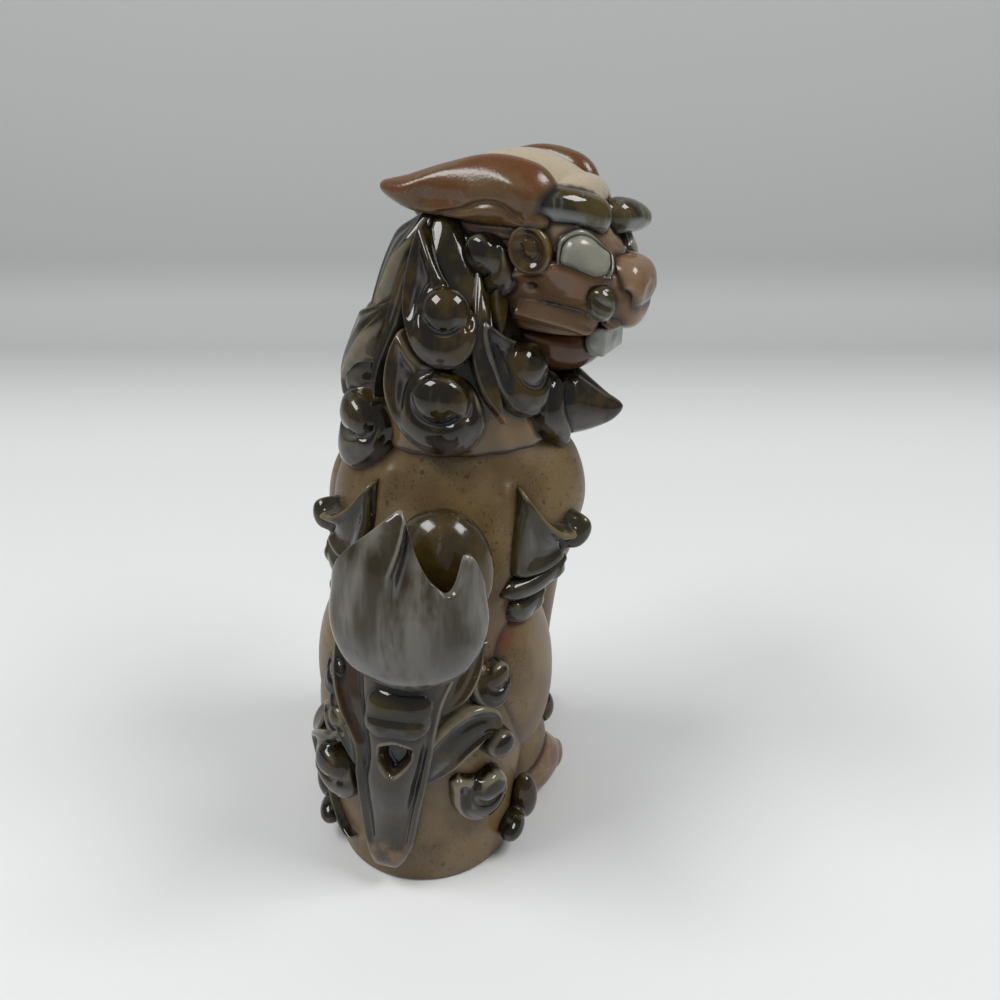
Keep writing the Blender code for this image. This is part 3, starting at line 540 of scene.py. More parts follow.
# %% Relief sheets and strands
def close_under(skin, out, kept, sink):
    """Faces for the kept points of a grid, with an underside and a wall at the border."""
    index = np.arange(kept.size).reshape(kept.shape)
    whole = kept[:-1, :-1] & kept[1:, :-1] & kept[1:, 1:] & kept[:-1, 1:]
    quads = np.stack([index[:-1, :-1][whole], index[1:, :-1][whole], index[1:, 1:][whole],
                      index[:-1, 1:][whole]], axis=1)
    under = quads[:, ::-1] + kept.size
    sides = np.concatenate([quads[:, [k, (k + 1) % 4]] for k in range(4)])
    code = np.sort(sides, axis=1) @ np.array((kept.size, 1))
    _, first, count = np.unique(code, return_index=True, return_counts=True)
    rim = sides[first[count == 1]]
    wall = np.stack([rim[:, 1], rim[:, 0], rim[:, 0] + kept.size, rim[:, 1] + kept.size], 1)
    faces = np.concatenate([quads, under, wall])
    points = np.concatenate([skin.reshape(-1, 3), (skin - out * sink[..., None]).reshape(-1, 3)])
    used, compact = np.unique(faces, return_inverse=True)
    return points[used], compact.reshape(faces.shape).tolist()


# A relief rises to its height over EDGE_WIDTH. Its skirt reaches SKIRT past the outline and
# dips SINK into the clay below. It is rubbed smooth RUBS times while it is wet.
EDGE_WIDTH, SKIRT, SINK, RUBS = 1.3, 1.4, 1.5, 3
STRAND_EDGE, STRAND_SINK = 0.9, 1.2


def relief(form, anchor, loop, lift_at, step=0.42, mirror=False):
    """A sheet of clay inside a loop of (x, y), with its height from lift_at(x, y, inside)."""
    low, high = loop.min(axis=0) - 3 * step, loop.max(axis=0) + 3 * step
    x, y = np.meshgrid(np.arange(low[0], high[0], step), np.arange(low[1], high[1], step),
                       indexing="ij")
    inside = inside_distance(x, y, loop)
    rise = smooth_step(inside / EDGE_WIDTH + 0.5)
    lift = lift_at(x, y, np.maximum(inside, 0)) * rise - SINK * (1 - rise)
    skin, out = over(form, anchor, x, y, lift, mirror)
    for _ in range(RUBS):
        inner = skin[1:-1, 1:-1]
        beside = skin[:-2, 1:-1] + skin[2:, 1:-1] + skin[1:-1, :-2] + skin[1:-1, 2:]
        skin[1:-1, 1:-1] = (2 * inner + beside) / 6
    return close_under(skin, out, inside > -SKIRT, lift + 2 * SINK)


def strand(form, places, half_widths, lift_at, rows, cols):
    """A strand through (station, angle) places, as high as lift_at(t, u, half width) says."""
    line = smooth_path(local(form, places[0], places))
    keys = np.concatenate([[0.0], np.cumsum(np.hypot(*np.diff(line, axis=0).T))])
    t = np.linspace(0, 1, rows)
    middle = through(keys, line, t * keys[-1])
    along = through(keys, line, np.clip(t * keys[-1] + 0.3, 0, keys[-1])) - through(
        keys, line, np.clip(t * keys[-1] - 0.3, 0, keys[-1]))
    along /= np.linalg.norm(along, axis=1, keepdims=True)
    half = through(np.linspace(0, 1, len(half_widths)), np.array(half_widths)[:, None], t)[:, 0]
    u = np.linspace(-1, 1, cols)
    x = middle[:, 0, None] + along[:, 1, None] * half[:, None] * u
    y = middle[:, 1, None] - along[:, 0, None] * half[:, None] * u
    t, u, half = np.broadcast_arrays(t[:, None], u[None, :], half[:, None])
    edge = np.minimum((1 - np.abs(u)) * half, np.minimum(t, 1 - t) * keys[-1])
    rise = smooth_step(edge / STRAND_EDGE)
    lift = lift_at(t, u, half) * rise - STRAND_SINK * (1 - rise)
    skin, out = over(form, places[0], x, y, lift)
    return close_under(skin, out, np.ones(x.shape, bool), lift + 2 * STRAND_SINK)


def join(parts):
    """Several meshes of points and faces as one."""
    points, faces, start = [], [], 0
    for some_points, some_faces in parts:
        points.append(some_points)
        faces.append(np.asarray(some_faces) + start)
        start += len(some_points)
    return np.concatenate(points), np.concatenate(faces).tolist()


print("a relief is rubbed smooth", RUBS, "times")

# %% [markdown]
# ## One comma curl
#
# Each curl on the real dog is a comma. A cushion of clay springs from a pointed root, is
# scooped out into a leaf, sweeps under a glossy ball and closes over it, and a spiral groove
# parts the two. The glaze runs thin over the edges and pools dark in the scoop and in the
# groove. All curls share one outline, drawn in ball radii.

# %% The shared outline and height of a curl
CURL_SWEEP = np.array(((-2.44, 0.5), (-2.25, -0.7), (-1.75, -1.7), (-0.85, -2.36),
                       (0.25, -2.48), (1.15, -2.02), (1.66, -1.1), (1.52, -0.05),
                       (1.05, 0.7), (0.3, 1.16)))


def curl_loop(radius, root, width):
    """The closed outline of a curl from its root round its ball, in millimetres."""
    sweep = CURL_SWEEP * np.array((radius * width, radius))
    root = np.asarray(root, float)
    left = root * 0.55 + sweep[0] * 0.45 + (-0.22 * radius, 0)
    right = root * 0.45 + sweep[-1] * 0.55 + (0, -0.30 * radius)
    return smooth_path([root, left, *sweep, right], closed=True)


def dome(away):
    """A round dome, 1 in its middle and 0 from 1 outwards."""
    return np.sqrt(np.clip(1 - away**2, 0, 1))


def rounded(inside, reach):
    """A quarter round, 0 at the edge and 1 from the reach inwards."""
    return dome(1 - np.clip(inside / reach, 0, 1))


# Shares of the ball's radius: its reach where the spiral starts, how that grows, its rise, and
# the depth and width of the groove. Shares of the full height: the scoop and the ball's foot.
BALL_REACH, BALL_GROWTH, BALL_RISE, GROOVE_DEPTH, GROOVE_WIDTH = 0.82, 0.26, 0.6, 0.26, 0.14
SCOOP_DEPTH, BALL_FOOT = 0.66, 0.62
SPIRAL_START = -40.0  # bearing, in degrees
EDGE_LINE = 0.24  # height in millimetres of the fine line inside the edge


def curl_height(radius, rise, depth):
    """The rule for a curl: a cushion, a leaf scooped out of it, a groove and the ball."""
    full = rise * radius

    def lift_at(x, y, inside):
        away = np.hypot(x, y)
        bearing = np.degrees(np.arctan2(y, x))
        wind = np.mod(SPIRAL_START - bearing, 360.0) / 360.0
        reach = radius * (BALL_REACH + BALL_GROWTH * wind)
        cushion = full * rounded(inside, radius * 1.15)
        beside = (0.45 * y - 0.85 * x) / radius
        leaf = smooth_step((inside - 1.7) / (0.55 * radius)) * smooth_step(beside - 0.5)
        leaf *= smooth_step((away - reach) / (0.45 * radius))
        edge_line = bump_at(inside, 1.5, 0.5) - bump_at(inside, 2.7, 0.7)
        floor = cushion * (1 - SCOOP_DEPTH * depth * leaf) + EDGE_LINE * edge_line
        groove = bump_at(away, reach + 0.3, GROOVE_WIDTH * radius)
        floor -= GROOVE_DEPTH * radius * depth * groove
        core = full * BALL_FOOT + radius * BALL_RISE * dome(away / reach)
        return np.where(away < reach, soft_max(core, np.minimum(floor, full * 0.6), 0.4), floor)
    return lift_at


def curl(form, eye, radius, root, turn, rise, width, depth=1.0, step=0.42, mirror=False):
    """A comma curl with its ball at the eye and its root at another (station, angle)."""
    root = local(form, eye, [root])[0]
    root[0] = root[0] * turn
    loop = curl_loop(radius, root, width)
    height = curl_height(radius, rise, depth)
    loop = loop * np.array((turn, 1.0))
    return relief(form, eye, loop, lambda x, y, inside: height(x * turn, y, inside), step,
                  mirror)


HAIR_WAVES = 2.5  # half waves of the fine ridges across a leaf of hair


def leaf_height(pad):
    """A leaf of hair: full sides, a hollow between them and fine ridges along it."""
    def lift_at(t, u, half):
        edge = (1 - np.abs(u)) * half
        hollow = smooth_step((edge - 1.4) / 2.2)
        fine = 0.16 * np.cos(u * math.pi * HAIR_WAVES) * hollow
        full = pad * (0.3 + 0.7 * smooth_step(t * 2.4))
        return full * (rounded(edge, 0.4 * pad + 0.8) - 0.20 * hollow) + fine
    return lift_at


sample = curl_loop(6.0, np.array((0.0, 18.0)), 1.0)
print("a curl with a 6 mm ball is", np.ptp(sample, axis=0).round(1), "mm wide and high")

# %% [markdown]
# ## The hollow body
#
# The body is one pressed shell with a five millimetre wall, open at the foot, and it stands
# on a flat ring. We walk one set of rings up the inside, over the foot and up the outside,
# so that the shell is closed and has a real thickness at the foot. Slow waves in the clay
# keep it from looking lathe-turned.

# %% The body shell
def slow_waves(points, size, seed):
    """Smooth unevenness between -1 and 1, from a few slow sine waves in all directions."""
    rng = np.random.default_rng(seed)
    total = np.zeros(points.shape[:-1])
    for _ in range(6):
        direction = rng.normal(size=3)
        direction /= np.linalg.norm(direction) * size
        total += np.sin(points @ direction * 2 * math.pi + rng.uniform(0, 2 * math.pi))
    return total / 3.0


WAVE_HEIGHT, WAVE_LENGTH = 0.35, 30.0
FOOT_BEVEL = 0.8
# Soft folds of the skin beside the elbow: places (height, bearing), width, height
BODY_FOLDS = (
    (((115, -152), (104, -150), (94, -146), (86, -140)), 2.2, 1.3),
    (((112, -157), (102, -156), (92, -152)), 2.0, 0.8),
    (((118, 150), (106, 150), (94, 145)), 2.2, 1.0),
    (((14, -178), (9, -168), (6, -160), (4, -150)), 1.6, 0.5),
)


def make_body():
    """Rings up the inside, over the foot and up the outside of the shell."""
    sides, levels = 168, 190
    turns = np.arange(sides) * 360.0 / sides

    def rings(stations, inset):
        s, a = np.meshgrid(stations, turns, indexing="ij")
        centre, first, second = BODY.ring(s)
        long = np.linalg.norm(first, axis=-1, keepdims=True) - inset
        wide = np.linalg.norm(second, axis=-1, keepdims=True) - inset
        turn = np.radians(a)[..., None]
        return centre + np.concatenate([long * np.cos(turn), wide * np.sin(turn),
                                        np.zeros_like(long)], axis=-1)

    stations = np.linspace(0, STUB_HEIGHT, levels)
    outside = rings(stations, 0.0)
    _, out = BODY.place(*np.meshgrid(stations, turns, indexing="ij"))
    rise = np.clip(outside[..., 2] / 6.0, 0, 1)
    lift = WAVE_HEIGHT * rise * slow_waves(outside, WAVE_LENGTH, 3)
    for places, width, height in BODY_FOLDS:
        path = BODY.skin_point(*np.array(smooth_path(places)).T)
        near = np.min([np.linalg.norm(outside - spot, axis=-1) for spot in path], axis=0)
        lift += height * np.exp(-((near / width) ** 2))
    outside = outside + out * lift[..., None]
    foot_bevel = rings(np.array([0.0]), 1.0)
    inside = rings(np.linspace(STUB_HEIGHT - CROWN_WALL, 0, 60), WALL)
    outside[0, :, 2] += FOOT_BEVEL
    from_rings("body", np.concatenate([inside, foot_bevel, outside]), "buff_ash", ["body_shell"])


make_body()
print("body shell:", len(pieces[-1][0].data.vertices), "points")

# %% [markdown]
# ## The mane
#
# The mane is a collar of clay over the neck, combed into strands, with rows of comma curls
# luted on it. Leaves of hair fill the gaps between the curls at the back of the neck, as the
# photograph shows. The side away from the camera can't be seen, and has curls of the same kind.

# %% Curls of the mane
# name: eye (height over the neck, bearing), ball radius, root, turn, rise, width
MANE_CURLS = (
    ("mane_curl_high_right", (29.5, -175), 5.5, (52, 140), 1, 0.95, 0.94),
    ("mane_curl_low_right", (9.5, -179), 6.3, (26, 150), 1, 0.92, 1.0),
    ("mane_curl_back_right", (0.0, 119), 7.2, (21, 126), 1, 1.05, 0.9),
    ("cheek_curl_right", (14.5, -121), 5.4, (29, -150), 1, 0.85, 0.95),
    ("mane_curl_high_back", (23, 100), 4.8, (44, 122), 1, 0.95, 0.9),
    ("mane_curl_back", (9, 80), 6.4, (28, 112), 1, 0.92, 0.9),
    ("mane_curl_low_back", (-3, 60), 5.0, (14, 54), -1, 0.9, 0.9),
    ("mane_curl_high_left", (27, 54), 6.0, (48, 92), -1, 0.92, 0.9),
    ("mane_curl_low_left", (9, 34), 6.8, (27, 66), -1, 0.9, 0.9),
    ("mane_curl_front_left", (0, 2), 5.8, (18, 18), -1, 0.9, 0.9),
    ("cheek_curl_left", (15, -24), 5.2, (30, 2), -1, 0.8, 0.9),
)

# Leaves of hair on the collar: places (height over the neck, bearing), half widths, pad
MANE_LEAVES = (
    (((54, 150), (47, 130), (38, 114), (28, 112), (21, 120)), (0.8, 4.0, 5.8, 5.0, 0.8), 5.0),
    (((32, 138), (24, 122), (16, 108), (9, 103), (3, 106)), (0.8, 4.4, 6.8, 5.8, 0.8), 8.4),
    (((54, 152), (44, 150), (30, 143), (17, 137), (6, 138)), (1.0, 2.4, 3.0, 2.4, 0.8), 3.4),
    (((40, -140), (30, -148), (20, -152), (10, -150), (1, -144)), (0.8, 2.6, 3.4, 3.0, 0.8), 3.0),
    (((30, -138), (20, -143), (10, -138), (4, -122), (2, -108)), (0.8, 2.0, 2.6, 2.2, 0.8), 3.0),
    (((44, -120), (36, -124), (28, -132), (22, -138)), (0.8, 2.6, 2.6, 0.8), 2.4),
    (((52, 104), (40, 88), (28, 78), (18, 82)), (0.8, 3.4, 4.8, 4.0, 0.8), 3.4),
    (((50, 66), (38, 38), (26, 24), (15, 26)), (0.8, 3.4, 4.8, 4.0, 0.8), 3.4),
    (((42, 24), (28, -2), (15, -10), (2, -6)), (0.8, 3.2, 4.6, 4.0, 0.8), 3.4),
    (((8, 20), (3, 42), (-4, 52)), (0.8, 3.4, 3.8, 0.8), 3.0),
    (((34, -10), (24, -26), (12, -38), (2, -44)), (0.8, 2.6, 3.2, 0.8), 2.6),
)


def collar_sheet():
    """The mane's own surface, combed into eighteen wavy strands, with a foot that dips in."""
    sides, levels = 216, 130
    foot, top = MANE.stations[0], MANE.stations[-1]
    s, a = np.meshgrid(np.linspace(foot, top, levels), np.arange(sides) * 360.0 / sides,
                       indexing="ij")
    climb = (s - foot) / (top - foot)
    wave = np.cos(np.radians(a * 18) + 5.0 * climb + 1.2 * np.sin(6 * climb))
    lift = 0.24 * wave * smooth_step(climb * 5) * smooth_step((0.82 - climb) * 5)
    lift = lift - 5.0 * smooth_step((0.15 - climb) / 0.12)
    points, _ = MANE.place(s, a, lift)
    return points.reshape(-1, 3), ring_faces(levels, sides)


def make_mane():
    sheet, sheet_faces = collar_sheet()
    quads, caps = sheet_faces[:-2], sheet_faces[-2:]
    leaves = [strand(MANE, above(NECK_HEIGHT, places), half_widths, leaf_height(pad),
                     rows=110, cols=29) for places, half_widths, pad in MANE_LEAVES]
    points, faces = join([(sheet, quads), *leaves])
    new_piece("mane_collar", (points, faces + caps), "collar_iron")
    for name, eye, radius, root, turn, rise, width in MANE_CURLS:
        eye, root = above(NECK_HEIGHT, [eye, root])
        new_piece(name, curl(MANE, eye, radius, root, turn, rise, width), "olive_iron")


make_mane()
print("mane pieces:", len(pieces) - 1)

# %% The beard: two drop curls and the point between them
BEARD_BEARING, DROP_RADIUS = -86, 5.7
DROP = np.array(((0.0, 1.9), (-0.75, 1.25), (-1.25, 0.3), (-1.15, -0.7), (-0.6, -1.6),
                 (0.15, -2.2), (0.75, -1.3), (1.15, -0.3), (1.1, 0.6), (0.6, 1.3)))


DROP_CUT = np.array(((0.1, 0.55), (0.55, 0.5), (0.62, 0.1), (0.35, -0.1), (0.4, -0.5),
                     (0.62, -0.85)))


def drop_height(radius, turn):
    """A pointed drop with a comma cut into its side."""
    def lift_at(x, y, inside):
        cut = smooth_path(DROP_CUT * (radius * turn, radius))
        near, _ = line_distance(np.stack([x, y], axis=-1), cut)
        return 0.8 + 0.95 * radius * rounded(inside, radius) - 1.7 * bump_at(near, 0, 0.75)
    return lift_at


def make_beard():
    for name, bearing, turn in (("beard_curl_right", -103, 1), ("beard_curl_left", -50, -1)):
        loop = smooth_path(DROP * (DROP_RADIUS * turn, DROP_RADIUS), closed=True)
        new_piece(name, relief(MANE, (NECK_HEIGHT + 1.2, bearing), loop,
                               drop_height(DROP_RADIUS, turn), step=0.36), "olive_iron")
    clay = bmesh.new()
    middle = BEARD_BEARING
    roll(clay, on(MANE, (NECK_HEIGHT + 4, middle, -3, 11.5, 11.5),
                  (NECK_HEIGHT + 1, middle, 3.5, 9.6, 10.4),
                  (NECK_HEIGHT - 2, middle, 9.5, 7.0, 7.6),
                  (NECK_HEIGHT - 4.5, middle, 15, 4.2, 4.4),
                  (NECK_HEIGHT - 6.2, middle, 19.5, 1.3, 1.3)))
    ridges = []
    for side in (-7, 7):
        path = on(MANE, (NECK_HEIGHT + 12, middle + side, 4, 0, 0),
                  (NECK_HEIGHT + 8, middle + side * 0.7, 10, 0, 0),
                  (NECK_HEIGHT + 2, middle + side * 0.3, 17, 0, 0))
        ridges.append(([spot[0] for spot in path], 1.1, -0.7))
    knead("beard_point", clay, "olive_iron", grain=0.45, strokes=ridges)


make_beard()
print("pieces with the beard:", len(pieces))

# %% [markdown]
# ## The head
#
# Skull, cheeks, muzzle and lips are one kneaded lump, and the snarl is drawn into it with
# pressed and raised lines, as a modelling tool would. The jaw, teeth, nose, brows and ears
# are lumps of their own. The swirls and the eyes are reliefs on the same form.

# %% Skull, muzzle and lips
def add_form(clay, form):
    rings, sides = 60, 72
    s, a = np.meshgrid(np.linspace(form.stations[0], form.stations[-1], rings),
                       np.arange(sides) * 360.0 / sides, indexing="ij")
    add_rings(clay, form.skin_point(s, a))


def head_line(*places):
    """A rounded line through places in the head's own directions."""
    return smooth_path([in_head(*place) for place in places], share=4)


def face_strokes():
    """The snarl: a raised roll from the lips up the cheek, with pressed lines beside it."""
    strokes = [(line_on(HEAD, [(-16, 0), (-4, 0), (10, 0)], 0, 1), 7.0, -0.4)]
    for _, side in SIDES:
        cheek = [(1, 114), (7, 106), (14, 101), (21, 95), (25.6, 90), (29.8, 76), (32, 60)]
        strokes += [
            (line_on(HEAD, cheek, 0, side), 1.5, 1.5),
            (line_on(HEAD, [(s, a - 9) for s, a in cheek[:-2]], 0, side), 1.2, -1.0),
            (line_on(HEAD, [(s - 1, a + 12) for s, a in cheek[2:]], 0, side), 1.3, -0.8),
            (line_on(HEAD, [(21.0, 108), (25.5, 103), (29.8, 90)], 0, side), 0.9, 0.8),
            (head_line((9, side * 15.5, -10), (16, side * 14.2, -11.5), (22, side * 12, -13),
                       (28, side * 9.2, -15.5)), 0.9, 1.2),
            (head_line((8, side * 15.5, -13), (16, side * 13.5, -14.5), (22, side * 11, -16),
                       (28, side * 8, -18)), 0.8, -1.2),
            (line_on(HEAD, [(24.6, 22), (25.2, 34), (24.6, 46)], 0, side), 1.0, -1.0),
        ]
    return strokes


def make_head():
    clay = bmesh.new()
    add_form(clay, HEAD)
    stud(clay, HEAD, 23, 0, -5, (7, 15, 6))
    for _, side in SIDES:
        stud(clay, HEAD, 22, 105 * side, -3, (11, 7, 5))
        roll(clay, [(in_head(4, side * 12.0, -9), UP, 4.2, 5.5),
                    (in_head(12, side * 11.6, -10), UP, 4.0, 5.5),
                    (in_head(20, side * 9.4, -11.5), UP, 3.8, 4.8),
                    (in_head(28, side * 6.0, -12.5), UP, 3.4, 4.0)])
    knead("head", clay, "face_iron", grain=0.45, strokes=face_strokes())


make_head()
print("points of the head:", len(pieces[-1][0].data.vertices))


# %% Lower jaw and teeth
def block(clay, centre, half_sizes):
    """A plain block in the head's directions, rounded later by kneading."""
    axes = Matrix([to_vector(axis * size * 2) for axis, size
                   in zip((AHEAD, LEFTWARD, UP), half_sizes)]).transposed()
    place = Matrix.Translation(to_vector(centre)) @ axes.to_4x4()
    bmesh.ops.create_cube(clay, size=1.0, matrix=place)


def make_jaw_and_teeth():
    clay = bmesh.new()
    chin = HEAD_HALF_WIDTH + 7.5
    roll(clay, [(in_head(-2, 0, -JAW_DROP + 5), UP, JAW_HALF_WIDTH + 1.5, 9),
                (in_head(12, 0, -JAW_DROP + 0.5), UP, JAW_HALF_WIDTH + 0.5, 8),
                (in_head(chin + 1.0, 0, -JAW_DROP + 1), UP, JAW_HALF_WIDTH - 3.0, 6.6)])
    strokes = [(head_line((6, side * 12.5, -16), (14, side * 12.5, -17.5),
                          (22, side * 10.5, -19), (27, side * 7, -20)), 1.3, 0.8)
               for _, side in SIDES]
    knead("lower_jaw", clay, "jaw_iron", strokes=strokes)
    clay = bmesh.new()
    ball(clay, in_head(chin + 0.6, 0, -JAW_DROP + 2.4), AHEAD, UP, (4.6, JAW_HALF_WIDTH - 4, 3.8))
    block(clay, in_head(chin + 1.7, 0, -JAW_DROP + 3.0), (2.4, JAW_HALF_WIDTH - 4.8, 3.8))
    gaps = [([in_head(chin + 6.0, left, -JAW_DROP + 7), in_head(chin + 6.0, left, -JAW_DROP - 3)],
             0.5, -0.3) for left in (-4.5, -1.5, 1.5, 4.5)]
    knead("teeth", clay, "tooth_celadon", grain=0.4, rounds=14, strokes=gaps)


make_jaw_and_teeth()
print("the jaw hangs", JAW_DROP, "mm under the head's centre")

# %% The nose
UNDERCUT = 0.35  # how far the nose falls back below its middle, for each mm down


def wedge(clay, rows):
    """Rounded rectangles ahead of the head: (ahead, up, half width, half height)."""
    outline = round_outline(1.0, 1.0, squareness=2 / 3, step=9.0)
    slices = through(np.arange(len(rows)), rows, np.linspace(0, len(rows) - 1, 24))
    add_rings(clay, np.array([[in_head(ahead + UNDERCUT * half_height * min(b, 0),
                                       half_width * a, up + half_height * b)
                               for a, b in outline]
                              for ahead, up, half_width, half_height in slices]))


def make_nose():
    clay = bmesh.new()
    tip, wide = MUZZLE_REACH - 3.9, NOSE_HALF_WIDTH
    wedge(clay, [(tip - 13, -1.0, wide - 1.6, 5.0), (tip - 9, -1.4, wide - 0.6, 6.0),
                 (tip - 5, -3.2, wide + 0.6, 7.4), (tip - 1.5, -4.2, wide + 0.4, 7.2),
                 (tip + 0.4, -4.6, wide - 1.0, 5.6), (tip + 1.3, -4.6, wide - 3.4, 3.0)])
    strokes = []
    for _, side in SIDES:
        ball(clay, in_head(tip - 7.0, side * (wide - 2.8), -9.0),
             AHEAD + LEFTWARD * side * 0.6, UP, (5.6, 4.2, 4.6))
        out = side * (wide + 1.6)
        strokes += [
            (head_line((tip - 8, out, -13), (tip - 7.5, out, -8), (tip - 3.4, out, -4.0),
                       (tip - 1.4, out * 0.9, -5.5), (tip - 3.4, out, -8.6),
                       (tip - 5.4, out, -9.6)), 0.75, -1.3),
            (head_line((tip - 6.8, out, -13), (tip - 7.2, out, -8), (tip - 3.6, out, -3),
                       (tip + 1, out * 0.85, -3)), 0.9, 0.7),
        ]
    strokes.append((head_line((tip - 8, 0, 5), (tip - 3, 0, 0), (tip + 2, 0, -4)), 1.6, -0.4))
    knead("nose", clay, "nose_iron", grain=0.4, rounds=8, strokes=strokes)


make_nose()
print("tip of the nose ahead of the head's centre:", MUZZLE_REACH, "mm")


# %% The brows
# A brow's roll as (ahead, left, up, half width, half thickness), how far its creases reach,
# and its creases as (share of the roll, width, height)
BROWS = (
    ("brow_right", ((10.5, -16.2, 15.6, 3.0, 2.6), (15.0, -14.6, 17.0, 4.4, 4.0),
                    (20.5, -10.4, 15.8, 5.0, 4.8), (25.0, -4.6, 13.2, 4.6, 5.0),
                    (27.0, -0.6, 11.6, 3.4, 4.0)), 5.2,
     ((0.44, 0.6, -1.0), (0.54, 0.6, -1.0), (0.64, 0.6, -1.0), (0.76, 0.8, -1.3),
      (0.88, 0.8, -1.3))),
    ("brow_left", ((25.4, 0.6, 12.2, 4.0, 4.4), (27.6, 6, 12.4, 5.0, 4.6),
                   (29.6, 12, 11.4, 4.2, 4.0), (31.2, 16.4, 10.5, 2.6, 2.6),
                   (31.8, 18.0, 10.3, 1.6, 1.8)), 5.0,
     ((0.3, 0.6, -0.9), (0.45, 0.6, -0.9), (0.6, 0.6, -0.9))),
)


def across_brow(centres, share, reach):
    """A short line over a brow roll, to press a crease across it."""
    middle = through(np.linspace(0, 1, len(centres)), centres, np.array(share))
    return [middle - UP * reach, middle + (UP * 0.2 - LEFTWARD * 0.6) * reach,
            middle + UP * reach + LEFTWARD * 1.5]


for name, spots, reach, creases in BROWS:
    centres = [in_head(*spot[:3]) for spot in spots]
    clay = bmesh.new()
    roll(clay, [(centre, UP, *spot[3:]) for centre, spot in zip(centres, spots)])
    knead(name, clay, "brow_iron", grain=0.4, strokes=[
        (across_brow(centres, share, reach), width, height) for share, width, height in creases])
print("brows:", len(BROWS))


# %% Eyes, swirls and whisker bumps
# The cut outline of an eye, as (ahead of the head's centre, angle from its top)
EYE_OUTLINE = ((20.9, -88), (21.4, -77), (22.4, -70), (25.8, -52), (28.2, -40), (29.6, -38),
               (30.6, -50), (30.3, -63), (28.3, -77), (25.5, -88), (22.4, -91))
EYE_SPOT = (26.0, -68.0)
SWIRL_SPOT = (13.6, -87.0)
EAR_CURL_SPOT = (1.2, -94.0)


def eye_height(x, y, inside):
    """A flat eye with a bevelled rim, a little higher towards the nose."""
    return 1.3 + np.minimum(1.5, inside * 0.85) + 0.04 * x


def lid_height(x, y, inside):
    """A raised rim, with a hollow inside it for the eye."""
    return 0.5 + 1.3 * bump_at(inside, 1.0, 0.7) - 0.6 * smooth_step((inside - 1.6) / 0.8)


def swirl_height(x, y, inside):
    """A flat disc with a C-shaped groove round a bead."""
    away = np.hypot(x, y)
    bearing = np.degrees(np.arctan2(y, x))
    winding = np.mod(150 - bearing, 360.0) / 360.0
    groove_at = 3.4 - 1.5 * winding
    groove = bump_at(away, groove_at, 0.62) * smooth_step((winding - 0.02) * 8)
    ring = bump_at(away, 4.9 - 0.6 * winding, 0.8)
    return 1.7 + 0.6 * ring - 1.25 * groove + 0.5 * np.exp(-((away / 1.2) ** 2))


def grown(loop, by):
    """The loop with every point moved out from its middle."""
    middle = loop.mean(axis=0)
    away = loop - middle
    return middle + away * (1 + by / np.linalg.norm(away, axis=1, keepdims=True))


def make_face_side(side_name, side):
    """Eye, lid, temple swirl, ear curl and whisker bump of one side of the face."""
    mirror = side > 0
    eye_loop = grown(local(HEAD, EYE_SPOT, EYE_OUTLINE), 0.6)
    new_piece("eye_" + side_name, relief(HEAD, EYE_SPOT, eye_loop, eye_height, 0.3, mirror),
              "eye_celadon")
    lid_loop = smooth_path(grown(eye_loop, 1.3), closed=True)
    new_piece("eye_lid_" + side_name,
              relief(HEAD, EYE_SPOT, lid_loop, lid_height, 0.36, mirror), "lid_ash", nodes=[])
    new_piece("temple_swirl_" + side_name,
              relief(HEAD, SWIRL_SPOT, round_outline(5.9, 5.9), swirl_height, 0.34, mirror),
              "amber_iron")
    new_piece("ear_curl_" + side_name,
              curl(HEAD, EAR_CURL_SPOT, 4.7, (-19.5, -66), 1, 0.9, 1.1, 0.9, 0.34, mirror),
              "olive_iron")
    clay = bmesh.new()
    roll(clay, on(HEAD, (29.8, 78 * side, 0.3, 3.2, 3.2), (30.2, 92 * side, 1.0, 3.6, 3.5),
                  (30.4, 108 * side, 1.0, 3.5, 3.4), (30.2, 122 * side, 0.4, 3.0, 2.8)))
    bands = [(line_on(HEAD, [(25.5, a * side), (30, (a + 1) * side), (34.5, a * side)], 4.5),
              0.8, h) for a, h in ((80, -0.6), (94, -0.7), (106, 0.4), (114, -0.5), (124, -0.4))]
    knead("fang_bump_" + side_name, clay, "bump_iron", grain=0.35, strokes=bands)


print("half width of the head at the eye:", HEAD.ring(EYE_SPOT[0])[2].round(1))


